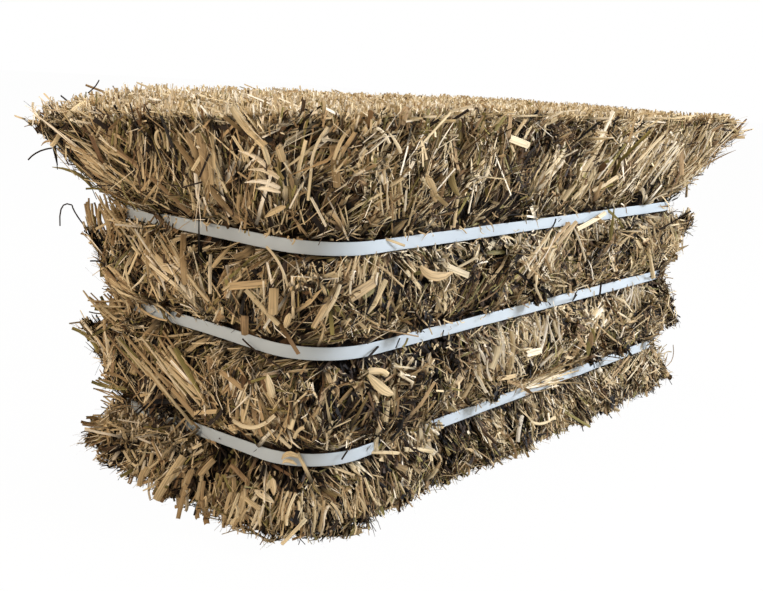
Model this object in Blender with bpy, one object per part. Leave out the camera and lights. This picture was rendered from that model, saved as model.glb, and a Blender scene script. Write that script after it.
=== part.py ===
"""A square straw bale that lies on its side, tied with three flat plastic straps.

The bale is a row of flakes, the wads that a baler's plunger presses one at a time.
The straps run round its sides and ends. They pinch the straw, so it bulges between
them and splays out above the top one. Locks of loose straw stick out of every flake.

X runs along the bale, Y across it and Z up. The front is the side where Y is
negative. The bale stands on Z = 0.
"""

import math
import random

import bmesh
import bpy
from mathutils import Vector, noise

# The pressed block, measured where the straps lie on it
LENGTH = 0.900
WIDTH = 0.390
HEIGHT = 0.474
CORNER_RADIUS = 0.080

# The flakes
FLAKES = 10
END_FLAKE = 0.102
THICKNESS_SPREAD = 0.10
FLAKE_GAP = 0.0004
SEAM_GROOVE = 0.008
SEAM_LIP = 0.16

# The straps, from the lowest to the highest
STRAP_NAMES = ("strap_lower", "strap_middle", "strap_upper")
STRAP_HEIGHTS = (0.097, 0.220, 0.337)
STRAP_FALLS = (0.016, 0.002, 0.004)
STRAP_JOINTS = (0.130, -0.070, 0.060)
STRAP_WIDTH = 0.015
STRAP_THICKNESS = 0.0010
STRAP_CLEARANCE = 0.0005
JOINT_LENGTH = 0.050
JOINT_STEP = 0.001
STRAP_ARC_STEPS = 6

# How far the straw stands out from the line of the straps. The near corner is the left
# end of the front, where the bands are pulled in the most.
SIDE_BULGE = 0.014
END_BULGE = 0.034
NEAR_CORNER_BULGE = 0.018
NEAR_CORNER_REACH = 0.150
SIDE_FLARE = 0.006
END_FLARE = 0.046
CORNER_FLARE = 0.074
BASE_TUCK = 0.010
END_SKIRT = 0.034
TOP_EDGE_DROP = 0.005
END_TOP_DROP = 0.038
FRONT_RIM_RISE = 0.013
TOP_DISH = 0.6
LUMP_HEIGHT = 0.007
LUMP_SIZE = 0.085

# Where each band between the straps has its rows of points, as shares of its height
BAND_ROWS = (
    (0.0, 0.3, 0.7, 1.0),
    (0.0, 0.2, 0.5, 0.8, 1.0),
    (0.0, 0.2, 0.5, 0.8, 1.0),
    (0.0, 0.15, 0.4, 0.7, 0.9, 1.0),
)
TOP_BAND = len(BAND_ROWS) - 1
ACROSS = 6
ARC_ANGLES = (0.0, 30.0, 60.0, 90.0)
SEAT = STRAP_WIDTH / 2 + 0.001

# The locks of loose straw
LOCK_SIDES = 5
LOCK_ROOT = 0.020
LOCK_SINK = 0.006
LOCK_WIDTH = 0.044
LOCK_THICKNESS = 0.022
LOCK_LENGTH = 0.052
BASE_LOCK_LENGTH = 0.034
LOCK_LEAN = 0.42
CORNER_LOCK_LENGTH = 0.066
SIDE_LOCK_CHANCE = 0.70

STRAW_COLOUR = (0.42, 0.30, 0.15, 1.0)
STRAP_COLOUR = (0.80, 0.84, 0.87, 1.0)


def make_material(name, colour, roughness):
    material = bpy.data.materials.new(name)
    material.use_nodes = True
    shader = material.node_tree.nodes["Principled BSDF"]
    shader.inputs["Base Color"].default_value = colour
    shader.inputs["Roughness"].default_value = roughness
    shader.inputs["Metallic"].default_value = 0.0
    return material


def make_object(name, points, faces, material=None):
    """A mesh object with its faces turned outwards."""
    mesh = bpy.data.meshes.new(name)
    mesh.from_pydata([tuple(point) for point in points], [], faces)
    shell = bmesh.new()
    shell.from_mesh(mesh)
    bmesh.ops.recalc_face_normals(shell, faces=shell.faces)
    shell.to_mesh(mesh)
    shell.free()
    made = bpy.data.objects.new(name, mesh)
    bpy.context.scene.collection.objects.link(made)
    if material:
        mesh.materials.append(material)
    return made


def strap_height(strap, y):
    """A strap's centre line, which lies lower at the back than at the front."""
    return STRAP_HEIGHTS[strap] - STRAP_FALLS[strap] * (0.5 + y / WIDTH)


def rim_height(x, y):
    """The height of the top edge. It droops over the ends and stands up along the front."""
    over = max(0.0, abs(x) - LENGTH / 2 + CORNER_RADIUS) / CORNER_RADIUS
    forward = 0.5 - y / WIDTH
    droop = END_TOP_DROP * over**1.5 * (1.0 - forward**1.5)
    rise = FRONT_RIM_RISE * min(1.0, max(0.0, (forward - 0.65) / 0.13))
    return HEIGHT - TOP_EDGE_DROP - droop + rise


def band_height(band, share, x, y):
    """The height of a point of a band, from its lower strap at 0 to its upper one at 1."""
    low = 0.0 if band == 0 else strap_height(band - 1, y) + SEAT
    high = rim_height(x, y) if band == TOP_BAND else strap_height(band, y) - SEAT
    return low + (high - low) * share


def lump(x, y, z):
    """The unevenness of pressed straw, from -1 to 1."""
    return noise.noise(Vector((x, y, z)) / LUMP_SIZE)


def swell(band, share, x, y, endness):
    """How far the straw stands out at a point of a band.

    endness is 0 in the middle of a long side and 1 on an end face.
    """
    bulge = SIDE_BULGE + (END_BULGE - SIDE_BULGE) * endness
    away = math.hypot(x + LENGTH / 2, y + WIDTH / 2) / NEAR_CORNER_REACH
    bulge += (NEAR_CORNER_BULGE - bulge) * math.exp(-away * away)
    flare = SIDE_FLARE + (END_FLARE - SIDE_FLARE) * endness
    cornered = abs(x / (LENGTH / 2)) ** 8 * abs(y / (WIDTH / 2)) ** 4
    flare += (CORNER_FLARE - flare) * min(1.0, 2 * cornered)
    z = band_height(band, share, x, y)
    if band == 0:
        held = max(0.0, 1.0 - share) ** 0.5
        foot = END_SKIRT * endness - BASE_TUCK
        full = bulge * (4 * share * (1 - share)) ** 0.6 + foot * (1 - share) ** 2
        return full + LUMP_HEIGHT * lump(x, y, z) * held
    if band == TOP_BAND:
        grown = min(1.0, share * 3)
        return bulge * grown + flare * share**1.3 + LUMP_HEIGHT * lump(x, y, z) * grown
    held = (4 * share * (1 - share)) ** 0.6
    return (bulge + LUMP_HEIGHT * lump(x, y, z)) * held


def side_point(station, side, band, share):
    """A point of a long side or of a rounded upright edge, at one of a flake's stations.

    A station is the X of the point that the edge turns about, the angle that it has
    turned, the end it turns towards and how far it draws in.
    """
    anchor_x, angle, end, groove = station
    turn = math.radians(angle)
    outward = Vector((end * math.sin(turn), side * math.cos(turn), 0.0))
    anchor = Vector((anchor_x, side * (WIDTH / 2 - CORNER_RADIUS), 0.0))
    on_strap = anchor + outward * CORNER_RADIUS
    endness = max(math.sin(turn), abs(on_strap.x / (LENGTH / 2)) ** 6)
    reach = swell(band, share, on_strap.x, on_strap.y, endness) - groove
    point = on_strap + outward * reach
    point.z = band_height(band, share, on_strap.x, on_strap.y)
    return point


def lifted(station, z):
    """The underside of a flake's rim stands clear of the ground by half its groove."""
    return z + station[3] / 2


def station_ring(station):
    """One closed loop of points round a flake: front, top, back and underside."""
    rows = [(band, share) for band, shares in enumerate(BAND_ROWS) for share in shares]
    front = [side_point(station, -1, *row) for row in rows]
    back = [side_point(station, 1, *row) for row in rows]
    for column in (front, back):
        column[0].z = lifted(station, column[0].z)
    shares = [step / ACROSS for step in range(1, ACROSS)]
    top = [front[-1].lerp(back[-1], share) for share in shares]
    for point in top:
        crown = TOP_EDGE_DROP + 0.5 * LUMP_HEIGHT * lump(point.x, point.y, HEIGHT)
        rim = max(0.0, -point.y / (WIDTH / 2)) * FRONT_RIM_RISE * TOP_DISH
        point.z += crown - rim - station[3] / 2
    base = [back[0].lerp(front[0], share) for share in shares]
    return front + top + back[::-1] + base


def end_grid(ring, end):
    """The points of a bale's end face, row by row from the base, each from front to back.

    The outline's points are given by their place in the ring. The others are new.
    """
    count = sum(len(shares) for shares in BAND_ROWS)
    rows = [(band, share) for band, shares in enumerate(BAND_ROWS) for share in shares]
    top = list(range(count - 1, count + ACROSS))
    base = [0] + list(range(len(ring) - 1, len(ring) - ACROSS, -1))
    base.append(len(ring) - ACROSS)
    new_points = []
    grid = [base]
    for level in range(1, count - 1):
        front, back = level, 2 * count + ACROSS - 2 - level
        line = [front]
        for step in range(1, ACROSS):
            point = ring[front].lerp(ring[back], step / ACROSS)
            band, share = rows[level]
            point.x = end * (LENGTH / 2 + swell(band, share, point.x, point.y, 1.0))
            point.z = band_height(band, share, LENGTH / 2, point.y)
            line.append(len(ring) + len(new_points))
            new_points.append(point)
        grid.append(line + [back])
    grid.append(top)
    return grid, new_points


def flake_seams():
    """The X of each flake's two faces. The end flakes are thick enough for the corners."""
    chance = random.Random(3)
    inner = [chance.uniform(1 - THICKNESS_SPREAD, 1 + THICKNESS_SPREAD) for _ in range(FLAKES - 2)]
    free = LENGTH - 2 * END_FLAKE
    edges = [-LENGTH / 2, -LENGTH / 2 + END_FLAKE]
    for share in inner:
        edges.append(edges[-1] + free * share / sum(inner))
    edges.append(LENGTH / 2)
    return edges


def flake_stations(index, edges):
    """A flake's stations from its left face to its right one."""
    left = edges[index] + FLAKE_GAP / 2
    right = edges[index + 1] - FLAKE_GAP / 2
    turned = LENGTH / 2 - CORNER_RADIUS
    if index == 0:
        arcs = [(-turned, angle, -1, 0.0) for angle in reversed(ARC_ANGLES)]
        return arcs + [(right, 0.0, 1, SEAM_GROOVE)]
    if index == FLAKES - 1:
        arcs = [(turned, angle, 1, 0.0) for angle in ARC_ANGLES]
        return [(left, 0.0, 1, SEAM_GROOVE)] + arcs
    shares = (0.0, SEAM_LIP, 0.5, 1 - SEAM_LIP, 1.0)
    grooves = (SEAM_GROOVE, 0.0, 0.0, 0.0, SEAM_GROOVE)
    return [
        (left + (right - left) * share, 0.0, 1, groove)
        for share, groove in zip(shares, grooves)
    ]


def flake_body(index, edges, material):
    """One pressed wad of straw, without its loose locks."""
    rings = [station_ring(station) for station in flake_stations(index, edges)]
    size = len(rings[0])
    points = [point for ring in rings for point in ring]
    faces = []
    for step in range(len(rings) - 1):
        first, second = step * size, (step + 1) * size
        for place in range(size):
            after = (place + 1) % size
            faces.append((first + place, first + after, second + after, second + place))
    ends = {0: (0, -1), FLAKES - 1: (len(rings) - 1, 1)}
    for step in (0, len(rings) - 1):
        start = step * size
        if ends.get(index, (None, 0))[0] != step:
            faces.append(tuple(range(start, start + size)))
            continue
        grid, new_points = end_grid(rings[step], ends[index][1])
        place_of = [start + place for place in range(size)]
        place_of += [len(points) + place for place in range(len(new_points))]
        points += new_points
        for lower, upper in zip(grid, grid[1:]):
            for column in range(ACROSS):
                corners = (lower[column], lower[column + 1], upper[column + 1], upper[column])
                faces.append(tuple(place_of[corner] for corner in corners))
    return make_object(f"flake_{index + 1:02d}", points, faces, material)


def lock_mesh(root, direction, outward, length, width):
    """A tapering, drooping lock of straw as points and faces. Its root lies in the flake."""
    along = direction.normalized()
    flat = along.cross(outward).normalized()
    deep = flat.cross(along).normalized()
    stages = ((-LOCK_ROOT, 0.8, 0.9), (0.0, 1.0, 1.0), (0.6 * length, 0.85, 0.6), (length, 0.5, 0.16))
    points = []
    for distance, wide, thick in stages:
        droop = Vector((0, 0, -0.12 * max(distance, 0.0) ** 2 / length))
        centre = root + along * distance + droop
        for step in range(LOCK_SIDES):
            turn = 2 * math.pi * step / LOCK_SIDES
            across = flat * math.cos(turn) * width / 2 * wide
            through = deep * math.sin(turn) * LOCK_THICKNESS / 2 * thick
            ragged = along * (0.10 * length * math.cos(2.7 * step) if distance == length else 0.0)
            points.append(centre + across + through + ragged)
    faces = [tuple(range(LOCK_SIDES))]
    for stage in range(len(stages) - 1):
        for step in range(LOCK_SIDES):
            low, high = stage * LOCK_SIDES, (stage + 1) * LOCK_SIDES
            after = (step + 1) % LOCK_SIDES
            faces.append((low + step, low + after, high + after, high + step))
    last = (len(stages) - 1) * LOCK_SIDES
    faces.append(tuple(range(last, last + LOCK_SIDES)))
    return points, faces


def lock_lean(band, chance):
    """Where in a band a lock is rooted, how much it rises and how long and wide it is."""
    share, rise, length = 0.62, 0.8, LOCK_LENGTH
    if band == 0:
        share, rise, length = 0.60, -0.6, BASE_LOCK_LENGTH
    elif band != TOP_BAND:
        share, rise = chance.choice(((0.50, 0.85), (0.56, -0.85)))
    return share, rise, length * chance.uniform(0.8, 1.05), LOCK_WIDTH * chance.uniform(0.7, 1.1)


def side_locks(index, edges, chance):
    """Locks on both long sides of a flake, at most one to a band."""
    left, right = edges[index], edges[index + 1]
    locks = []
    for side in (-1, 1):
        for band in range(TOP_BAND + 1):
            if chance.random() > SIDE_LOCK_CHANCE:
                continue
            x = left + (right - left) * chance.uniform(0.44, 0.56)
            station = (x, 0.0, 1, 0.0)
            share, rise, length, width = lock_lean(band, chance)
            root = side_point(station, side, band, share)
            outward = Vector((0, side, 0))
            lean = Vector((chance.uniform(-0.2, 0.2), side * LOCK_LEAN, rise))
            locks.append((root - outward * LOCK_SINK, lean, outward, length, width))
    return locks


def end_locks(end, chance):
    """Locks on a bale's end face and on its two upright edges, most of them at the top."""
    locks = []
    turned = end * (LENGTH / 2 - CORNER_RADIUS)
    for band in range(TOP_BAND + 1):
        for side in (-1, 1):
            for angle in (36.0, 66.0) if band == TOP_BAND else (52.0,):
                turn = math.radians(angle)
                outward = Vector((end * math.sin(turn), side * math.cos(turn), 0))
                share, rise, length, width = lock_lean(band, chance)
                root = side_point((turned, angle, end, 0.0), side, band, share)
                lean = outward * (0.8 if band == TOP_BAND else 0.6) + Vector((0, 0, rise))
                if band == TOP_BAND:
                    length = CORNER_LOCK_LENGTH * chance.uniform(0.9, 1.05)
                locks.append((root - outward * LOCK_SINK, lean, outward, length, width))
        outward = Vector((end, 0, 0))
        y = chance.uniform(-0.2, 0.2) * WIDTH
        share, rise, length, width = lock_lean(band, chance)
        x = end * (LENGTH / 2 + swell(band, share, end * LENGTH / 2, y, 1.0))
        height = band_height(band, share, LENGTH / 2, y)
        root = Vector((x, y, height)) - outward * LOCK_SINK
        lean = Vector((end * LOCK_LEAN, chance.uniform(-0.4, 0.4), rise))
        locks.append((root, lean, outward, length, width))
    return locks


def join_locks(flake, locks):
    """Fuses a flake's locks to it with one Boolean union."""
    points, faces = [], []
    for lock in locks:
        new_points, new_faces = lock_mesh(*lock)
        faces += [tuple(len(points) + corner for corner in face) for face in new_faces]
        points += new_points
    cutter = make_object(f"{flake.name}_locks", points, faces)
    cutter.hide_render = True
    cutter.display_type = "WIRE"
    union = flake.modifiers.new("locks", "BOOLEAN")
    union.operation = "UNION"
    union.object = cutter
    union.use_self = True


def strap_path(joint_x):
    """Points round the bale on the strap's inner line: place, outward direction, extra layer."""
    half_length, half_width = LENGTH / 2 - CORNER_RADIUS, WIDTH / 2 - CORNER_RADIUS
    corners = ((1, -1, -90), (1, 1, 0), (-1, 1, 90), (-1, -1, 180))
    path = []
    for end, side, first_angle in corners:
        for step in range(STRAP_ARC_STEPS + 1):
            turn = math.radians(first_angle + 90 * step / STRAP_ARC_STEPS)
            outward = Vector((math.cos(turn), math.sin(turn), 0))
            centre = Vector((end * half_length, side * half_width, 0))
            path.append((centre + outward * CORNER_RADIUS, outward, 0.0))
        if (end, side) == (1, 1):
            back = Vector((0, 1, 0))
            half = JOINT_LENGTH / 2
            steps = ((half, 0), (half - JOINT_STEP, 1), (JOINT_STEP - half, 1), (-half, 0))
            for offset, layers in steps:
                place = Vector((joint_x + offset, WIDTH / 2, 0))
                path.append((place, back, layers * STRAP_THICKNESS))
    return path


def strap(number, material):
    """A flat strap drawn tight round the bale, its ends lapped and welded at the back."""
    points, faces = [], []
    for place, outward, extra in strap_path(STRAP_JOINTS[number]):
        z = strap_height(number, place.y)
        inner = place + outward * STRAP_CLEARANCE
        outer = inner + outward * (STRAP_THICKNESS + extra)
        for point, rise in ((inner, -1), (outer, -1), (outer, 1), (inner, 1)):
            points.append(Vector((point.x, point.y, z + rise * STRAP_WIDTH / 2)))
    count = len(points)
    for start in range(0, count, 4):
        for corner in range(4):
            after = (corner + 1) % 4
            near = (start + corner, start + after)
            far = ((start + 4 + after) % count, (start + 4 + corner) % count)
            faces.append(near + far)
    return make_object(STRAP_NAMES[number], points, faces, material)


def main():
    for old in list(bpy.data.objects):
        bpy.data.objects.remove(old)
    straw = make_material("straw", STRAW_COLOUR, 0.7)
    plastic = make_material("white_strap", STRAP_COLOUR, 0.4)
    chance = random.Random(11)
    edges = flake_seams()
    for index in range(FLAKES):
        flake = flake_body(index, edges, straw)
        if index in (0, FLAKES - 1):
            locks = end_locks(-1 if index == 0 else 1, chance)
        else:
            locks = side_locks(index, edges, chance)
        join_locks(flake, locks)
    for number in range(len(STRAP_NAMES)):
        strap(number, plastic)


if __name__ == "__main__":
    main()
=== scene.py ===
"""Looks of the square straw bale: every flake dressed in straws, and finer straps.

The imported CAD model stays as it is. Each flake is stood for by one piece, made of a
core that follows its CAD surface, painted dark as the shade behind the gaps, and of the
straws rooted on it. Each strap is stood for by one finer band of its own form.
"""

import math

import bmesh
import bpy
import numpy as np
from bpy.props import FloatProperty, IntProperty, PointerProperty
from mathutils import Matrix, Vector, noise
from mathutils.bvhtree import BVHTree


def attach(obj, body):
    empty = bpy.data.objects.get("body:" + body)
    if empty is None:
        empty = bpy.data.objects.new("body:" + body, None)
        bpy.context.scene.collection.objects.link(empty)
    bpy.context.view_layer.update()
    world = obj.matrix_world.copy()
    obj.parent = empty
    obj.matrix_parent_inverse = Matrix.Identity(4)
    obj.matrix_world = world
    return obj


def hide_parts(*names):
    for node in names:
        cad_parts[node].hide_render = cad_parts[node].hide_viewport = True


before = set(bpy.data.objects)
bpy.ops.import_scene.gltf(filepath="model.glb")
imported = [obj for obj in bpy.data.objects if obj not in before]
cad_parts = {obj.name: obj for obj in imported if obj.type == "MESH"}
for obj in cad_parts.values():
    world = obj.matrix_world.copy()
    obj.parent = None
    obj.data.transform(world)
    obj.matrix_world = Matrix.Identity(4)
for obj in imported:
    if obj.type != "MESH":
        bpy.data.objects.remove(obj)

bl_info = {
    "name": "Square straw bale",
    "version": (1, 0, 0),
    "blender": (4, 5, 0),
    "location": "View3D > Sidebar > Bale",
    "description": "Dresses a straw bale's CAD model with straws, straps and a stage",
    "category": "Object",
}

# The straps, in metres like every size here. Their ends are lapped within the joint's depth
# of the back, and the radius is that of a strap's outer face
STRAP_WIDTH = 0.015
STRAP_THICKNESS = 0.001
JOINT_LENGTH = 0.050
JOINT_DEPTH = 0.004
CORNER_RADIUS = 0.0815
# The points along a strap: degrees between them round a corner, and metres on the straights
STRAP_CORNER_STEP = 5
STRAP_STEP = 0.008
# How far a strap strays up and down and how far it twists, each with its wave's length
STRAP_STRAY = (0.0009, 0.09)
STRAP_TWIST = (0.0007, 0.06)
# The strap's section: places across it from -1 to 1 and through it from 0 to 1
STRAP_PROFILE = (
    (-0.96, 0.0),
    (-1.0, 0.3),
    (-0.97, 0.85),
    (-0.88, 1.0),
    (-0.45, 0.82),
    (0.0, 0.78),
    (0.45, 0.82),
    (0.88, 1.0),
    (0.97, 0.85),
    (1.0, 0.3),
    (0.96, 0.0),
)
# The share of straws that may cross a strap, by band from the base
CROSSING_SHARES = np.array([0.014, 0.008, 0.005, 0.003])
# Within this distance of a strap the straw is pressed flat by it
STRAP_HOLD = 0.024
# Straw this near a strap's middle line is lifted this far over a level that lies just under
# the strap's face
STRAP_NEAR = 0.0095
STRAP_LIFT = 0.004
STRAP_FACE = 0.0015
# How much room a band's straw leaves beside a strap's edge
STRAP_GAP = 0.0018

# Where straw hides a strap: the strap, the face, and from where to where along that face
COVERS = (
    (0, "left", -0.005, 0.200),
    (0, "front", -0.350, -0.245),
    (0, "front", 0.370, 0.450),
    (1, "left", 0.100, 0.200),
    (1, "front", 0.370, 0.450),
    (2, "left", 0.140, 0.200),
    (2, "front", 0.405, 0.450),
    (0, "back", 0.260, 0.350),
    (1, "right", -0.060, 0.030),
    (2, "back", -0.330, -0.270),
)
# How far above and below the strap's middle that straw is rooted, how ragged its ends are,
# how much of it lies there, and how far its roots and tips are raised
COVER_REACH = 0.021
COVER_RAGGED = 0.012
COVER_SHARE = 0.85
COVER_ROOT = 0.006
COVER_TIP = 0.003
# Longer straws than this don't cross a strap
CROSSING_LENGTH = 0.04

# How far the straw may pass the CAD bale's box, and how far it stays off the ground
BOX_SPARE = (0.009, 0.009, 0.012)
GROUND_GAP = 0.0036

# The top band's rim, as heights over the highest strap: where the painted shade of deep straw
# stops, over what height that fades, and how high the bottom layer's tips may reach
RIM_START = 0.085
RIM_FADE = 0.03
RIM_DARK_TIPS = 0.095
# How far below the top the rim's pale straw begins, and over what height it turns pale
PALE_DEPTH = 0.030
PALE_FADE = 0.02
# How far the rim's straw may stand over the top: on the front, elsewhere, and more for wisps
FRONT_SHAGGY = 0.006
RIM_SHAGGY = 0.003
WISP_HEIGHT = 0.004
# Straws that end this close under the top run straight on over the rim
OVER_RIM = 0.012

# The tufts: how far apart they are, and the share that are hollows, below and in the top band
TUFT_SPACING = 0.021
HOLLOW_SHARE = 0.13
TOP_HOLLOW_SHARE = 0.19
# Half the width of a seam between two flakes
SEAM_REACH = 0.0055

# Patterns of smooth noise: the size of their lumps, and where in the noise they lie
WISPS = (0.004, 12.0)
SEAM_PATCHES = (0.06, 23.0)
RELIEF = (0.030, 53.0)
TOP_RELIEF = (0.045, 61.0)
TOP_PATCHES = (0.08, 5.0)
SIDE_PATCHES = (0.08, 17.0)
END_PATCHES = (0.08, 71.0)
CLUMPS_PLACE = 3.1

# The core, painted dark as shade behind the gaps: its longest edge, the size of its lumps,
# and how many of the darkest tones it has
CORE_EDGE = 0.022
CORE_LUMPS = 0.012
CORE_TONES = 9
# Closer to the bale's ends than these, a face isn't a seam between flakes
SEAM_END = 0.05
CORE_END = 0.06

FLAKES = tuple(f"flake_{number:02d}" for number in range(1, 11))
STRAPS = ("strap_lower", "strap_middle", "strap_upper")
TONES = 32
# The first and last tone of the pale, tan, green, brown and dark straw
TONE_GROUPS = ((0, 7), (6, 14), (14, 20), (21, 26), (26, 32))
# How many tones darker the deepest straws are painted, as painted shade
DEEP_TONES = 8
MAP_NAME = "OFBake"

# The photograph's camera, fitted to the lines of the straps
IMAGE_WIDTH = 763
IMAGE_HEIGHT = 591
FOCAL_LENGTH_PX = 987.2
CAMERA_PLACE = (-1.1884, -0.8782, 0.5248)
CAMERA_YAW = 0.6846
CAMERA_PITCH = -0.2228
CAMERA_ROLL = 0.0677
SENSOR_WIDTH = 36

# The stage. The camera sees nearly all of the floor as white
FLOOR_SIZE = 40
FLOOR_COLOUR = "#E8E4DC"
FLOOR_WHITE = 0.985
SKY_COLOUR = "#F4F1EC"
SKY_STRENGTH = 0.21
# Each lamp's name, place, size, power and colour
LAMPS = (
    ("window", (1.3, -2.6, 1.9), 1.0, 160, "#F3F6FF"),
    ("skylight", (-0.2, 0.3, 2.8), 1.5, 47, "#FFF8EE"),
    ("warm_wall", (-2.6, 0.5, 1.1), 1.6, 36, "#FFE9D2"),
)

# The straw's tones from the palest to the darkest, with each one's place in the map
STRAW_TONES = (
    (0.00, "#F3E7D0"),
    (0.12, "#DFCCA4"),
    (0.24, "#CBB48A"),
    (0.36, "#AF946C"),
    (0.47, "#947856"),
    (0.55, "#948850"),
    (0.64, "#7B7347"),
    (0.72, "#76583A"),
    (0.80, "#54402B"),
    (0.88, "#33251A"),
    (1.00, "#100B08"),
)
# How many streaks lie across a straw and along it, and how far they shift with its tone.
# Over a stem of 2.7 mm each is about 0.4 mm wide
STREAKS = (7.0, 1.6, 3.7)

# Straws placed by the photograph: how far the single ones stand off the bale, how many
# points each straw has, its ridge, its first place along the map, and how far the highest
# may stand over the top
PHOTO_STRAW_LIFT = 0.0100
PHOTO_STATIONS = 6
PHOTO_CROWN = 0.35
PHOTO_START = 0.40
PHOTO_TOP_SPARE = 0.008
# Distances from the camera: to the far corner, the jump that shows a ray has passed the
# bale's edge, and how far behind that edge a straw then hangs
FAR_CORNER_DEPTH = 1.33
PHOTO_JUMP = 0.08
PHOTO_HANG = 0.04
# Their widths along their length, as shares
PHOTO_SHAPES = {
    "stem": (0.95, 1.0, 1.0, 1.0, 0.98, 0.92),
    "blade": (0.7, 1.0, 0.95, 0.8, 0.55, 0.15),
    "leaf": (0.3, 0.85, 1.0, 1.0, 0.75, 0.2),
}
# The photograph's dark hollows and its pale or brown patches: the pixel in the middle, the
# radius, the depth as a share and how much paler it is. The hollows' darkening is painted shade
PHOTO_SPOTS = (
    ((323, 150), 0.024, 1.0, -0.8),
    ((386, 142), 0.020, 1.0, -0.9),
    ((405, 186), 0.022, 0.8, -0.9),
    ((444, 142), 0.026, 0.7, -1.0),
    ((531, 154), 0.026, 0.9, -0.9),
    ((482, 284), 0.042, 0.5, -1.3),
    ((515, 268), 0.020, 0.8, -1.0),
    ((395, 276), 0.026, 0.9, -1.1),
    ((302, 290), 0.020, 0.5, -0.8),
    ((388, 292), 0.018, 0.9, -0.8),
    ((413, 367), 0.014, 1.0, -0.8),
    ((438, 366), 0.030, 0.6, -1.1),
    ((335, 407), 0.022, 0.7, -0.9),
    ((654, 296), 0.030, 0.9, -1.2),
    ((171, 369), 0.014, 1.0, -1.0),
    ((124, 304), 0.014, 1.0, -0.8),
    ((158, 416), 0.036, 0.7, -1.3),
    ((137, 441), 0.014, 1.0, -0.8),
    ((74, 132), 0.024, 0.9, -0.9),
    ((136, 164), 0.014, 0.8, -0.7),
    ((300, 222), 0.030, 0.4, -1.1),
    ((443, 116), 0.026, 0.2, -1.2),
    ((310, 133), 0.034, 0.2, -0.9),
    ((596, 343), 0.028, 0.0, -1.0),
    ((120, 372), 0.034, 0.0, -0.9),
    ((560, 200), 0.030, 0.0, -0.8),
    ((472, 176), 0.028, 0.0, 1.2),
    ((416, 252), 0.022, 0.0, 1.6),
    ((488, 340), 0.040, 0.0, 1.3),
    ((382, 383), 0.030, 0.0, 1.2),
    ((272, 432), 0.034, 0.0, 0.9),
    ((513, 244), 0.040, 0.0, 1.2),
    ((276, 388), 0.030, 0.0, 0.9),
    ((262, 172), 0.030, 0.0, 1.3),
    ((165, 480), 0.030, 0.0, 0.7),
    ((540, 400), 0.040, 0.0, 0.8),
    ((372, 160), 0.020, 0.0, 1.0),
)
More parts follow.
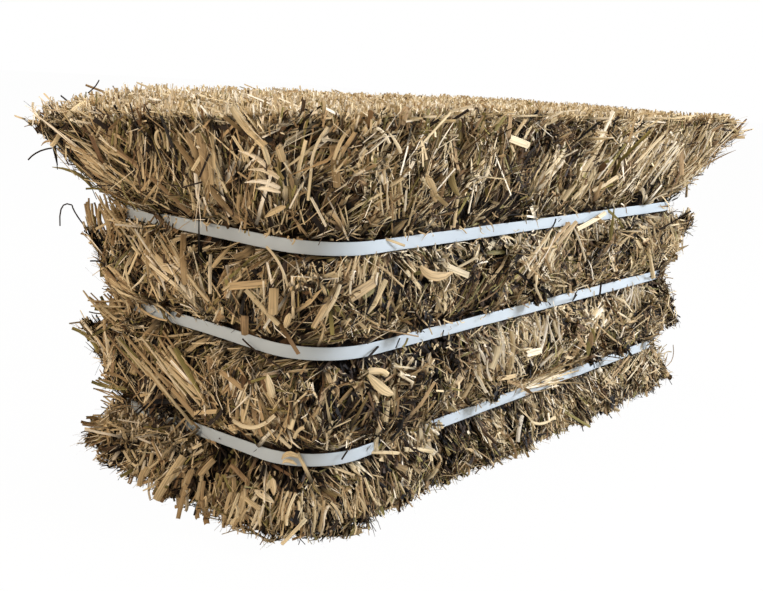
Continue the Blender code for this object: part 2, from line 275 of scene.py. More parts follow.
# The straws that stand out in it: tone, width, kind and the pixels that they run through
PHOTO_STRAWS = (
    # The left end's upper band
    (11, 0.0060, "stem", (190, 130), (211, 182)),
    (12, 0.0090, "stem", (203, 130), (211, 176)),
    (15, 0.0055, "stem", (177, 136), (208, 178), (242, 219)),
    (14, 0.0045, "stem", (121, 148), (158, 178), (194, 211)),
    (13, 0.0045, "blade", (212, 186), (230, 205), (254, 222)),
    (9, 0.0030, "stem", (165, 173), (142, 205)),
    (1, 0.0050, "blade", (270, 163), (256, 153), (241, 148)),
    (2, 0.0045, "blade", (282, 174), (268, 168), (251, 167)),
    (0, 0.0050, "blade", (283, 184), (265, 179), (247, 180)),
    (1, 0.0055, "leaf", (283, 190), (271, 186), (259, 186)),
    (4, 0.0050, "blade", (272, 160), (266, 143), (258, 132)),
    (6, 0.0080, "stem", (232, 106), (248, 123), (268, 142)),
    (9, 0.0070, "stem", (281, 158), (278, 145), (278, 144)),
    (8, 0.0060, "leaf", (288, 203), (278, 207), (267, 214)),
    (3, 0.0030, "stem", (328, 124), (315, 146), (311, 168)),
    (5, 0.0030, "stem", (311, 168), (308, 197)),
    (15, 0.0080, "stem", (333, 141), (337, 184)),
    (7, 0.0040, "blade", (340, 160), (348, 140), (352, 125)),
    (2, 0.0028, "stem", (311, 194), (326, 223)),
    (4, 0.0028, "stem", (216, 158), (230, 190)),
    (7, 0.0075, "leaf", (92, 107), (79, 107), (66, 124)),
    (6, 0.0050, "stem", (76, 112), (64, 132), (51, 146)),
    (22, 0.0024, "stem", (154, 102), (134, 117), (112, 127)),
    (29, 0.0016, "stem", (88, 93), (97, 84), (99, 76)),
    (5, 0.0020, "stem", (99, 134), (107, 124), (108, 121)),
    (9, 0.0026, "stem", (167, 98), (196, 99), (224, 101)),
    (18, 0.0050, "blade", (92, 187), (76, 173), (52, 167)),
    (28, 0.0018, "stem", (72, 205), (62, 207), (60, 226)),
    (28, 0.0018, "stem", (72, 205), (76, 214), (86, 228)),
    (28, 0.0020, "stem", (52, 148), (38, 152), (28, 160)),
    (12, 0.0030, "blade", (60, 140), (50, 138), (41, 146)),
    # The front's upper band
    (3, 0.0090, "stem", (506, 137), (525, 145)),
    (7, 0.0070, "stem", (603, 135), (582, 167), (561, 199)),
    (6, 0.0055, "stem", (593, 171), (570, 197)),
    (7, 0.0055, "stem", (616, 174), (591, 189)),
    (4, 0.0045, "stem", (541, 174), (553, 160), (564, 149)),
    (9, 0.0040, "stem", (522, 119), (511, 134)),
    (4, 0.0050, "stem", (419, 176), (431, 192), (448, 206)),
    (9, 0.0090, "leaf", (432, 200), (427, 185), (421, 172)),
    (14, 0.0070, "leaf", (436, 198), (438, 184), (437, 172)),
    (16, 0.0080, "leaf", (455, 194), (450, 180), (447, 167)),
    (5, 0.0035, "blade", (462, 186), (470, 177), (478, 168)),
    (8, 0.0028, "stem", (631, 126), (632, 103)),
    (10, 0.0030, "stem", (645, 119), (664, 106)),
    (2, 0.0030, "stem", (386, 140), (378, 128), (371, 124)),
    (3, 0.0035, "blade", (398, 150), (392, 140), (384, 128)),
    (13, 0.0080, "blade", (398, 122), (406, 109), (410, 104)),
    (28, 0.0020, "stem", (741, 131), (722, 128), (706, 122)),
    (11, 0.0030, "blade", (716, 152), (733, 140), (747, 128)),
    (13, 0.0026, "blade", (700, 165), (718, 158), (736, 150)),
    # The second band
    (3, 0.0028, "stem", (270, 246), (281, 266), (290, 286)),
    (1, 0.0028, "stem", (269, 265), (275, 286)),
    (9, 0.0105, "stem", (276, 288), (275, 313)),
    (5, 0.0052, "stem", (249, 290), (266, 308), (281, 323)),
    (10, 0.0085, "stem", (231, 287), (269, 283)),
    (2, 0.0038, "stem", (213, 258), (214, 292)),
    (11, 0.0070, "stem", (186, 238), (189, 283)),
    (9, 0.0050, "blade", (216, 268), (233, 250)),
    (10, 0.0055, "blade", (150, 238), (152, 276)),
    (10, 0.0105, "stem", (371, 282), (347, 298)),
    (3, 0.0040, "stem", (340, 284), (320, 318)),
    (10, 0.0110, "leaf", (417, 268), (430, 276), (449, 272)),
    (5, 0.0026, "stem", (505, 249), (532, 270)),
    (10, 0.0060, "stem", (573, 221), (549, 252)),
    (12, 0.0050, "stem", (566, 222), (540, 258)),
    (2, 0.0026, "stem", (571, 230), (584, 260)),
    (12, 0.0032, "stem", (520, 260), (540, 281)),
    (14, 0.0085, "stem", (248, 314), (248, 330)),
    (7, 0.0070, "leaf", (292, 312), (287, 326)),
    (29, 0.0020, "stem", (110, 266), (101, 262), (90, 261)),
    (18, 0.0040, "blade", (688, 254), (684, 234), (681, 216)),
    (28, 0.0028, "stem", (649, 237), (671, 223), (691, 211)),
    # Straws that cross the straps
    (3, 0.0065, "stem", (602, 212), (588, 221), (574, 230)),
    (15, 0.0065, "stem", (592, 216), (601, 225)),
    (18, 0.0040, "stem", (605, 209), (615, 222), (623, 235)),
    (30, 0.0022, "stem", (554, 218), (550, 227), (542, 232)),
    (29, 0.0022, "stem", (633, 216), (626, 234)),
    (30, 0.0016, "stem", (177, 223), (175, 232)),
    (28, 0.0020, "stem", (246, 338), (262, 352), (282, 369)),
    (30, 0.0026, "stem", (377, 345), (369, 350), (365, 360)),
    (18, 0.0024, "stem", (404, 337), (399, 349)),
    (29, 0.0014, "stem", (396, 337), (392, 347)),
    (29, 0.0014, "stem", (440, 329), (439, 335), (441, 340)),
    (28, 0.0018, "stem", (580, 276), (571, 300)),
    (29, 0.0022, "stem", (574, 294), (571, 301)),
    (5, 0.0060, "stem", (648, 254), (650, 278)),
    (3, 0.0040, "blade", (533, 284), (540, 301)),
    (12, 0.0045, "stem", (508, 380), (532, 394)),
    (29, 0.0020, "stem", (345, 449), (339, 458)),
    (9, 0.0024, "stem", (136, 298), (151, 313), (171, 320)),
    (8, 0.0030, "stem", (401, 245), (390, 240), (384, 236)),
    # The third band
    (18, 0.0070, "blade", (178, 351), (190, 369), (204, 391)),
    (8, 0.0085, "stem", (113, 298), (109, 324)),
    (17, 0.0045, "stem", (103, 351), (88, 337), (72, 328)),
    (11, 0.0055, "stem", (224, 371), (247, 389)),
    (5, 0.0085, "leaf", (276, 397), (269, 376)),
    (7, 0.0110, "leaf", (366, 376), (377, 388), (392, 393)),
    (8, 0.0075, "stem", (366, 373), (386, 374)),
    (4, 0.0085, "stem", (385, 399), (383, 419)),
    (3, 0.0055, "stem", (375, 424), (375, 449)),
    (6, 0.0065, "stem", (509, 331), (511, 350), (506, 376)),
    (5, 0.0100, "stem", (493, 345), (489, 369)),
    (8, 0.0050, "stem", (476, 353), (478, 383)),
    (2, 0.0090, "stem", (523, 353), (538, 350)),
    (9, 0.0060, "stem", (486, 379), (512, 374)),
    (9, 0.0024, "stem", (593, 325), (626, 350)),
    (3, 0.0030, "stem", (614, 312), (628, 320)),
    (28, 0.0028, "stem", (667, 284), (686, 283)),
    (28, 0.0026, "stem", (675, 296), (683, 315)),
    (24, 0.0045, "blade", (583, 357), (602, 353)),
    (9, 0.0052, "stem", (198, 411), (221, 409)),
    (10, 0.0026, "stem", (189, 413), (171, 440)),
    (3, 0.0042, "stem", (236, 418), (256, 425), (277, 413)),
    (5, 0.0040, "stem", (294, 436), (298, 428), (306, 423)),
    (7, 0.0060, "leaf", (299, 456), (291, 450), (284, 458)),
    (5, 0.0045, "leaf", (297, 463), (290, 459), (285, 462)),
    # The base band
    (7, 0.0100, "stem", (186, 459), (156, 500)),
    (11, 0.0055, "stem", (196, 469), (178, 519)),
    (10, 0.0070, "stem", (216, 462), (203, 476)),
    (11, 0.0055, "stem", (204, 500), (198, 519)),
    (12, 0.0070, "stem", (212, 508), (207, 527)),
    (9, 0.0070, "stem", (150, 467), (140, 486)),
    (5, 0.0034, "stem", (127, 451), (141, 466), (149, 446)),
    (6, 0.0026, "stem", (135, 450), (141, 461)),
    (4, 0.0038, "stem", (204, 446), (195, 451)),
    (6, 0.0038, "stem", (165, 459), (176, 447), (190, 442)),
    (8, 0.0032, "stem", (112, 413), (107, 430)),
    (7, 0.0052, "stem", (244, 495), (262, 509)),
    (3, 0.0075, "leaf", (257, 490), (276, 502)),
    (9, 0.0070, "leaf", (274, 479), (276, 495)),
    (14, 0.0055, "stem", (234, 467), (249, 483)),
    (4, 0.0042, "stem", (306, 519), (284, 541)),
    (0, 0.0055, "stem", (519, 416), (516, 442)),
    (14, 0.0040, "stem", (505, 432), (516, 459)),
    (5, 0.0040, "stem", (527, 422), (539, 422), (551, 415)),
    (8, 0.0070, "blade", (531, 403), (532, 419)),
    (17, 0.0045, "stem", (675, 348), (691, 358), (708, 370)),
    (13, 0.0070, "leaf", (671, 351), (692, 373)),
    (18, 0.0060, "leaf", (668, 361), (686, 381)),
    (7, 0.0055, "blade", (664, 331), (689, 328)),
    (5, 0.0055, "stem", (401, 450), (430, 452)),
    (6, 0.0040, "stem", (368, 453), (396, 454)),
)
# How many pixels the starts, the ends and the middles of its tufts' straws stray
START_STRAY = 3.0
END_STRAY = 5.0
MIDDLE_STRAY = 1.6
TUFT_SEED = 77
# Its tufts of straws that lie side by side: tone, width, how many there are, the two pixels
# that they start between and the two that they end between
PHOTO_TUFTS = (
    (12, 0.0028, 34, ((56, 142), (93, 120)), ((118, 192), (160, 170))),
    (12, 0.0032, 70, ((84, 190), (114, 198)), ((96, 246), (132, 244))),
    (12, 0.0032, 60, ((82, 290), (108, 262)), ((112, 326), (148, 300))),
    (13, 0.0026, 56, ((74, 174), (112, 196)), ((92, 214), (130, 212))),
    (14, 0.0024, 44, ((80, 192), (100, 204)), ((118, 206), (136, 232))),
    (13, 0.0026, 52, ((94, 266), (112, 280)), ((86, 312), (130, 318))),
    (14, 0.0024, 40, ((84, 296), (92, 310)), ((122, 292), (136, 318))),
    (14, 0.0034, 26, ((90, 368), (92, 400)), ((128, 384), (132, 412))),
    (12, 0.0030, 16, ((81, 420), (84, 430)), ((125, 425), (120, 440))),
    (11, 0.0042, 38, ((138, 452), (252, 480)), ((124, 490), (240, 534))),
    (8, 0.0026, 36, ((635, 180), (700, 185)), ((660, 128), (738, 124))),
    (22, 0.0020, 96, ((424, 103), (478, 105)), ((418, 138), (482, 150))),
    (15, 0.0024, 52, ((112, 118), (182, 121)), ((106, 150), (186, 156))),
    (10, 0.0028, 36, ((118, 224), (166, 230)), ((172, 290), (214, 302))),
    (11, 0.0028, 42, ((106, 332), (160, 334)), ((188, 420), (224, 408))),
    (9, 0.0022, 14, ((638, 119), (655, 121)), ((655, 104), (672, 106))),
    (8, 0.0024, 36, ((560, 205), (600, 186)), ((590, 150), (632, 128))),
    (7, 0.0020, 26, ((380, 222), (404, 221)), ((381, 170), (406, 170))),
    (9, 0.0018, 44, ((343, 256), (384, 254)), ((334, 292), (380, 294))),
    (9, 0.0024, 44, ((510, 284), (545, 279)), ((545, 234), (572, 224))),
    (7, 0.0020, 34, ((574, 225), (613, 219)), ((579, 244), (618, 240))),
    (8, 0.0022, 50, ((640, 218), (684, 212)), ((646, 252), (688, 250))),
    (5, 0.0024, 38, ((526, 318), (557, 311)), ((523, 348), (560, 345))),
    (5, 0.0022, 34, ((612, 290), (640, 281)), ((616, 314), (642, 308))),
    (3, 0.0028, 30, ((470, 336), (505, 331)), ((478, 375), (508, 376))),
    (24, 0.0018, 50, ((440, 312), (498, 300)), ((470, 268), (512, 262))),
    (8, 0.0024, 30, ((513, 394), (520, 386)), ((574, 373), (580, 362))),
    (11, 0.0022, 50, ((598, 394), (666, 364)), ((626, 354), (676, 340))),
    (9, 0.0030, 40, ((262, 486), (330, 492)), ((250, 530), (322, 530))),
    (12, 0.0026, 40, ((330, 490), (400, 470)), ((340, 528), (412, 505))),
    (7, 0.0022, 44, ((36, 125), (66, 112)), ((30, 98), (60, 94))),
    (9, 0.0018, 44, ((400, 229), (660, 194)), ((402, 238), (662, 202))),
    (8, 0.0018, 36, ((400, 257), (660, 219)), ((402, 249), (662, 212))),
    (9, 0.0018, 44, ((400, 328), (645, 265)), ((402, 337), (647, 274))),
    (8, 0.0018, 36, ((400, 356), (645, 291)), ((402, 347), (647, 283))),
    (9, 0.0018, 40, ((440, 409), (640, 335)), ((442, 418), (642, 343))),
    (10, 0.0018, 30, ((135, 201), (300, 232)), ((137, 210), (302, 241))),
    (9, 0.0026, 64, ((372, 438), (438, 416)), ((378, 458), (444, 434))),
    (9, 0.0022, 60, ((600, 196), (690, 190)), ((648, 130), (736, 126))),
    (7, 0.0022, 44, ((655, 150), (720, 150)), ((668, 106), (744, 118))),
    (8, 0.0020, 40, ((560, 122), (650, 128)), ((572, 101), (664, 108))),
    (16, 0.0022, 44, ((300, 128), (420, 132)), ((302, 112), (424, 112))),
)


class BaleSettings(bpy.types.PropertyGroup):
    """What can be set on the bale's looks."""

    density: FloatProperty(
        name="Straws",
        description="How many straws there are, as a share of the full number",
        default=1.0,
        min=0.05,
        max=1.0,
    )
    seed: IntProperty(
        name="Seed",
        description="Which of the many ways the straws can lie",
        default=5,
        min=0,
    )
    straw_width: FloatProperty(
        name="Straw width",
        description="Width of a common stem",
        default=0.0027,
        unit="LENGTH",
    )
    core_depth: FloatProperty(
        name="Core depth",
        description="How deep the dark gaps between the straws are",
        default=0.011,
        unit="LENGTH",
    )


def linear(colour):
    """A hex sRGB colour as linear RGBA."""
    parts = [int(colour[place : place + 2], 16) / 255 for place in (1, 3, 5)]
    parts = [c / 12.92 if c <= 0.04045 else ((c + 0.055) / 1.055) ** 2.4 for c in parts]
    return (*parts, 1.0)


def add_node(tree, kind, values=None, **options):
    """Adds a shader node with its options and its input values."""
    node = tree.nodes.new(kind)
    for name, value in options.items():
        setattr(node, name, value)
    for key, value in (values or {}).items():
        node.inputs[key].default_value = value
    return node


def new_material(name, values):
    material = bpy.data.materials.new(name)
    material.use_nodes = True
    shader = material.node_tree.nodes["Principled BSDF"]
    for key, value in values.items():
        shader.inputs[key].default_value = value
    return material, material.node_tree, shader


def straw_material():
    """Dry straw. Its map holds a tone and the place across a straw in u, and along it in v."""
    # Straw is a waxy grass stem that the press has bruised, so its sheen is weak and wide,
    # and fine streaks run along it. Its root is dark, because the straws around it shade it
    material, tree, shader = new_material(
        "dry_straw", {"Roughness": 0.62, "Specular IOR Level": 0.25}
    )
    link = tree.links.new
    place = add_node(tree, "ShaderNodeUVMap", uv_map=MAP_NAME)
    split = add_node(tree, "ShaderNodeSeparateXYZ")
    link(place.outputs["UV"], split.inputs[0])
    scaled = add_node(tree, "ShaderNodeMath", {1: float(TONES)}, operation="MULTIPLY")
    link(split.outputs["X"], scaled.inputs[0])
    number = add_node(tree, "ShaderNodeMath", operation="FLOOR")
    link(scaled.outputs[0], number.inputs[0])
    across = add_node(tree, "ShaderNodeMath", operation="FRACT")
    link(scaled.outputs[0], across.inputs[0])
    share = add_node(tree, "ShaderNodeMath", {1: float(TONES - 1)}, operation="DIVIDE")
    link(number.outputs[0], share.inputs[0])
    tones = add_node(tree, "ShaderNodeValToRGB")
    ramp = tones.color_ramp
    for place_on_ramp, colour in STRAW_TONES[1:-1]:
        ramp.elements.new(place_on_ramp).color = linear(colour)
    ramp.elements[0].color = linear(STRAW_TONES[0][1])
    ramp.elements[-1].color = linear(STRAW_TONES[-1][1])
    link(share.outputs[0], tones.inputs[0])

    spot = add_node(tree, "ShaderNodeCombineXYZ")
    link(across.outputs[0], spot.inputs["X"])
    link(split.outputs["Y"], spot.inputs["Y"])
    link(number.outputs[0], spot.inputs["Z"])
    stretch = add_node(tree, "ShaderNodeVectorMath", {1: STREAKS}, operation="MULTIPLY")
    link(spot.outputs[0], stretch.inputs[0])
    streaks = add_node(tree, "ShaderNodeTexNoise", {"Scale": 1.0, "Detail": 2.0})
    link(stretch.outputs[0], streaks.inputs["Vector"])
    strength = add_node(
        tree,
        "ShaderNodeMapRange",
        {"From Min": 0.3, "From Max": 0.7, "To Min": 0.60, "To Max": 1.25},
    )
    link(streaks.outputs["Fac"], strength.inputs["Value"])
    rooted = add_node(
        tree,
        "ShaderNodeMapRange",
        {"From Min": 0.0, "From Max": 0.55, "To Min": 0.12, "To Max": 1.0},
        interpolation_type="SMOOTHSTEP",
    )
    link(split.outputs["Y"], rooted.inputs["Value"])
    shade = add_node(tree, "ShaderNodeMath", operation="MULTIPLY")
    link(strength.outputs[0], shade.inputs[0])
    link(rooted.outputs[0], shade.inputs[1])
    coloured = add_node(tree, "ShaderNodeVectorMath", operation="SCALE")
    link(tones.outputs["Color"], coloured.inputs[0])
    link(shade.outputs[0], coloured.inputs["Scale"])
    link(coloured.outputs[0], shader.inputs["Base Color"])
    return material


def strap_material():
    """White polypropylene strapping, extruded and embossed."""
    # It is milky at its edges, and the embossing dulls its gloss to satin
    return new_material(
        "white_polypropylene",
        {
            "Base Color": linear("#B0BAC0"),
            "Roughness": 0.42,
            "Specular IOR Level": 0.35,
            "Subsurface Weight": 0.1,
            "Subsurface Radius": (0.002, 0.002, 0.002),
            "Subsurface Scale": 1.0,
        },
    )[0]


def node_arrays(name):
    """A CAD node's points, with those at one place welded, and its triangles."""
    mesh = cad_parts[name].data
    mesh.calc_loop_triangles()
    points = np.zeros(len(mesh.vertices) * 3)
    mesh.vertices.foreach_get("co", points)
    corners = np.zeros(len(mesh.loop_triangles) * 3, np.int32)
    mesh.loop_triangles.foreach_get("vertices", corners)
    _, first, number = np.unique(
        points.reshape(-1, 3).round(6), axis=0, return_index=True, return_inverse=True
    )
    return points.reshape(-1, 3)[first], number.reshape(-1)[corners].reshape(-1, 3)


def normalised(vectors):
    return vectors / np.maximum(np.linalg.norm(vectors, axis=-1, keepdims=True), 1e-9)


def dot(first, second):
    return (first * second).sum(-1, keepdims=True)


class BaleForm:
    """The CAD bale as the straws need it: its surface, its box and where the straps run."""

    def __init__(self):
        all_points, all_faces, count = [], [], 0
        self.nodes = {}
        for name in FLAKES:
            points, faces = node_arrays(name)
            self.nodes[name] = (points, faces)
            all_points.append(points)
            all_faces.append(faces + count)
            count += len(points)
        points, faces = np.concatenate(all_points), np.concatenate(all_faces)
        self.low, self.high = points.min(0), points.max(0)
        self.tree = BVHTree.FromPolygons(points.tolist(), faces.tolist())
        self.straps = []
        for name in STRAPS:
            ring = node_arrays(name)[0]
            slope, height = np.polyfit(ring[:, 1], ring[:, 2], 1)
            self.straps.append((height, slope))
        self.half_length = float(np.abs(node_arrays(STRAPS[0])[0][:, 0]).max())
        self.half_width = -float(node_arrays(STRAPS[0])[0][:, 1].min())
        self.seams = np.array([self.nodes[name][0][:, 0].max() for name in FLAKES[1:-1]])
        self.seams = np.append(self.seams, self.nodes[FLAKES[1]][0][:, 0].min())
        self.cast_photo_spots()

    def nearest(self, spots):
        """The nearest point of the bale's surface and its outward direction."""
        found = np.zeros((len(spots), 2, 3))
        for row, spot in enumerate(spots):
            place, facing, _, _ = self.tree.find_nearest(spot)
            found[row, 0] = place
            found[row, 1] = facing
        return found[:, 0], found[:, 1]

    def tops(self, spots, outward):
        """The height of the bale's top over each spot."""
        found = np.full(len(spots), self.high[2] - 0.01)
        for row, (spot, facing) in enumerate(zip(spots, outward)):
            above = (spot[0] - 0.004 * facing[0], spot[1] - 0.004 * facing[1], 1.0)
            place = self.tree.ray_cast(above, (0, 0, -1))[0]
            if place and place[2] > self.straps[-1][0]:
                found[row] = place[2]
        return found

    def cast_photo_spots(self):
        """Where on the bale the photograph's dark hollows and its pale or brown patches lie."""
        camera = Vector(CAMERA_PLACE)
        self.photo_spots = []
        for pixel, radius, depth, shade in PHOTO_SPOTS:
            place = self.tree.ray_cast(camera, photo_ray(pixel))[0]
            if place:
                self.photo_spots.append((np.array(place), radius, depth, shade))

    def photo_depth(self, spots):
        """How far each spot sinks into one of the photograph's hollows, as a share."""
        sunk = np.zeros(len(spots))
        for place, radius, depth, _ in self.photo_spots:
            away = np.linalg.norm(spots - place, axis=1) / radius
            sunk = np.maximum(sunk, depth * (1.6 * (1 - away)).clip(0, 1))
        return sunk

    def photo_patch(self, spots):
        """How much paler each spot is because of the photograph's patches, its hollows darker as
        painted shade.
        """
        paler = np.zeros(len(spots))
        for place, radius, _, shade in self.photo_spots:
            away = np.linalg.norm(spots - place, axis=1) / radius
            paler += shade * (1.6 * (1 - away)).clip(0, 1)
        return paler

    def covered(self, spots):
        """Whether each spot lies where straw hides a strap."""
        x, y, z = spots.T
        faces = {
            "left": (x < 0.03 - self.half_length, y),
            "right": (x > self.half_length - 0.03, y),
            "front": (y < 0.02 - self.half_width, x),
            "back": (y > self.half_width - 0.02, x),
        }
        hidden = np.zeros(len(spots), bool)
        for strap, face, start, end in COVERS:
            on_face, along = faces[face]
            height, slope = self.straps[strap]
            ragged = COVER_RAGGED * np.sin(900 * z + 40 * strap)
            beside = np.abs(z - height - slope * y) < COVER_REACH
            hidden |= on_face & beside & (along > start + ragged) & (along < end + ragged)
        return hidden

    def band_limits(self, spots):
        """The heights of the strap edges below and above each spot, and the band's number."""
        edge = STRAP_WIDTH / 2 + STRAP_GAP
        low = np.zeros(len(spots))
        high = np.full(len(spots), self.high[2] + 0.01)
        band = np.zeros(len(spots), int)
        for height, slope in self.straps:
            level = height + slope * spots[:, 1]
            above = spots[:, 2] > level
            low = np.where(above, level + edge, low)
            high = np.where(~above & (high > level - edge), level - edge, high)
            band += above
        return low, high, band


def sample_surface(form, name, count, chance):
    """Random points on a flake's open surface with their smooth outward directions."""
    points, faces = form.nodes[name]
    corners = points[faces]
    cross = np.cross(corners[:, 1] - corners[:, 0], corners[:, 2] - corners[:, 0])
    area = np.linalg.norm(cross, axis=1) / 2
    facing = normalised(cross)
    smooth = np.zeros_like(points)
    for corner in range(3):
        np.add.at(smooth, faces[:, corner], cross)
    middle = corners.mean(1)
    # A face that looks along the bale from inside it is a seam between two flakes
    inner = np.abs(middle[:, 0]) < form.half_length - SEAM_END
    seam = (np.abs(facing[:, 0]) > 0.98) & inner
    smooth = normalised(smooth)
    wanted = area * face_density(facing, middle)
    wanted[seam] = 0.0
    chosen = chance.choice(len(faces), size=count, p=wanted / wanted.sum())
    shares = chance.random((count, 2))
    over = shares.sum(1) > 1
    shares[over] = 1 - shares[over]
    weights = np.column_stack([1 - shares.sum(1), shares])[:, :, None]
    spots = (corners[chosen] * weights).sum(1)
    blended = (smooth[faces[chosen]] * weights).sum(1)
    outward = normalised(0.5 * normalised(blended) + 0.6 * facing[chosen])
    return spots, outward


def face_density(facing, middle):
    """How thickly each face is dressed: most where the photograph looks."""
    density = np.full(len(facing), 0.75)
    density[facing[:, 1] < -0.4] = 1.25
    density[facing[:, 0] < -0.4] = 1.15
    density[facing[:, 2] > 0.7] = 1.15
    density[(facing[:, 2] < -0.7) & (middle[:, 2] < 0.03)] = 0.12
    return density


def field(spots, size, place):
    """A smooth random value for each spot, mostly from -1 to 1."""
    moved = spots / size + place
    return np.array([noise.noise(spot) for spot in moved.tolist()]) * 1.6


class StrawBatch:
    """Gathers straws and builds them as one mesh."""

    def __init__(self):
        self.points, self.faces, self.maps, self.count = [], [], [], 0

    def add(self, lines, outward, widths, tones, turns, shapes, crowns=None, start_at=0.02):
        """Adds straws along lines of points.

        lines is straws x stations x 3, and outward the direction each straw's flat side
        looks in. shapes is the width at each station as a share. Straws with crowns are
        ridged: their middle stands up by that share of half the width. start_at is each
        straw's first place along the map, where it is darkest.
        """
        straws, stations = lines.shape[:2]
        if not straws:
            return
        along = np.empty_like(lines)
        along[:, 1:-1] = lines[:, 2:] - lines[:, :-2]
        along[:, 0] = lines[:, 1] - lines[:, 0]
        along[:, -1] = lines[:, -1] - lines[:, -2]
        along = normalised(along)
        side = normalised(np.cross(along, outward[:, None]))
        up = np.cross(side, along)
        spin = turns[:, None, None]
        across = side * np.cos(spin) + up * np.sin(spin)
        raised = np.cross(across, along)
        half = (widths[:, None] / 2 * shapes)[:, :, None]
        rims, shares = [-across * half, across * half], np.array([0.0, 1.0])
        if crowns is not None:
            rims.insert(1, raised * half * crowns[:, None, None])
            shares = np.array([0.0, 0.5, 1.0])
        columns = len(rims)
        grid = np.stack([lines + rim for rim in rims], axis=2)
        u = (tones[:, None, None] + 0.12 + 0.76 * shares[None, None, :]) / TONES
        v = np.linspace(start_at, 0.98, stations)[None, :, None]
        flat_map = np.stack(np.broadcast_arrays(u, v), axis=-1)
        start = self.count + np.arange(straws)[:, None, None] * stations * columns
        row = np.arange(stations - 1)[None, :, None] * columns
        first = np.arange(columns - 1)[None, None, :]
        corners = (first, first + 1, first + 1 + columns, first + columns)
        quads = np.stack([start + row + corner for corner in corners], axis=-1)
        self.points.append(grid.reshape(-1, 3))
        self.maps.append(flat_map.reshape(-1, 2))
        self.faces.append(quads.reshape(-1, 4))
        self.count += straws * stations * columns

    def build(self, name, core, material):
        """One mesh object out of the core and all the straws."""
        core_points, core_faces, core_map = core
        points = np.concatenate([*self.points, core_points])
        quads = np.concatenate(self.faces)
        triangles = core_faces + self.count
        corners = np.concatenate([quads.ravel(), triangles.ravel()])
        sizes = np.concatenate([np.full(len(quads), 4), np.full(len(triangles), 3)])
        mesh = bpy.data.meshes.new(name)
        mesh.vertices.add(len(points))
        mesh.vertices.foreach_set("co", points.astype(np.float32).ravel())
        mesh.loops.add(len(corners))
        mesh.loops.foreach_set("vertex_index", corners.astype(np.int32))
        mesh.polygons.add(len(sizes))
        starts = np.concatenate([[0], np.cumsum(sizes)[:-1]])
        mesh.polygons.foreach_set("loop_start", starts.astype(np.int32))
        mesh.polygons.foreach_set("use_smooth", np.ones(len(sizes), bool))
        straw_map = np.concatenate(self.maps)[quads.ravel()]
        layer = mesh.uv_layers.new(name=MAP_NAME)
        both = np.concatenate([straw_map, core_map.reshape(-1, 2)])
        layer.data.foreach_set("uv", both.astype(np.float32).ravel())
        mesh.materials.append(material)
        mesh.update(calc_edges=True)
        mesh.validate()
        made = bpy.data.objects.new(name, mesh)
        bpy.context.scene.collection.objects.link(made)
        return made


def dark_core(form, name, depth, chance):
    """The flake's CAD surface, sunk and roughened, and painted dark as the shade behind the gaps."""
    points, faces = form.nodes[name]
    shell = bmesh.new()
    made = [shell.verts.new(point) for point in points]
    for face in faces:
        if len(set(face)) == 3:
            shell.faces.new([made[corner] for corner in face])
    for _ in range(6):
        long_edges = [edge for edge in shell.edges if edge.calc_length() > CORE_EDGE]
        if not long_edges:
            break
        bmesh.ops.subdivide_edges(shell, edges=long_edges, cuts=1)
        bmesh.ops.triangulate(shell, faces=shell.faces)
    shell.normal_update()
    moves = []
    for vertex in shell.verts:
        rough = 0.5 + 0.5 * noise.noise(vertex.co / CORE_LUMPS)
        moves.append(-vertex.normal * depth * (0.8 + 0.4 * rough))
    for vertex, move in zip(shell.verts, moves):
        if abs(vertex.normal.x) < 0.9 or abs(vertex.co.x) > form.half_length - CORE_END:
            vertex.co += move
            vertex.co.z = max(vertex.co.z, 0.001)
    shell.verts.index_update()
    core_points = np.array([vertex.co for vertex in shell.verts])
    core_faces = np.array([[vertex.index for vertex in face.verts] for face in shell.faces])
    shell.free()
    # Each face takes one dark tone, as painted shade behind the gaps between the straws
    tones = chance.integers(TONES - CORE_TONES, TONES, len(core_faces))
    spread = np.array([(0.2, 0.55), (0.8, 0.6), (0.5, 0.9)])
    core_map = np.repeat(spread[None], len(core_faces), axis=0)
    core_map[:, :, 0] = (tones[:, None] + core_map[:, :, 0]) / TONES
    return core_points, core_faces, core_map


def surface_axes(outward):
    """Upward and sideways directions along the surface at each point."""
    flat = np.abs(outward[:, 2:]) > 0.85
    up = np.where(flat, np.array([1.0, 0, 0]), np.array([0, 0, 1.0]))
    up = normalised(up - outward * dot(up, outward))
    return up, np.cross(up, outward)


def strap_distance(form, points):
    """How far points lie above or below the nearest strap's edge."""
    gaps = [
        np.abs(points[..., 2] - height - slope * points[..., 1]) - STRAP_WIDTH / 2
        for height, slope in form.straps
    ]
    return np.maximum(np.min(gaps, axis=0), 0.0)


def curve(first, middle, last, stations):
    """Points along the smooth curve through three points, for one straw or for many."""
    share = np.linspace(0, 1, stations)[:, None]
    first, middle, last = first[..., None, :], middle[..., None, :], last[..., None, :]
    line = first * 2 * (share - 0.5) * (share - 1)
    line = line + middle * 4 * share * (1 - share)
    return line + last * 2 * share * (share - 0.5)


def band_room(form, spots, outward):
    """The lowest and highest that each straw may reach, and how high the top is over it."""
    low, high, band = form.band_limits(spots)
    highest = band == len(form.straps)
    tops = np.full(len(spots), form.high[2] + 0.01)
    tops[highest] = form.tops(spots[highest], outward[highest])
    # The front's rim is a little shaggier than the others, and a few wisps stand over it
    shaggy = np.where(outward[:, 1] < -0.6, FRONT_SHAGGY, RIM_SHAGGY)
    wisps = np.exp(3 * field(spots, *WISPS)).clip(0, 3.0)
    return low, np.minimum(high, tops + shaggy + WISP_HEIGHT * wisps), tops


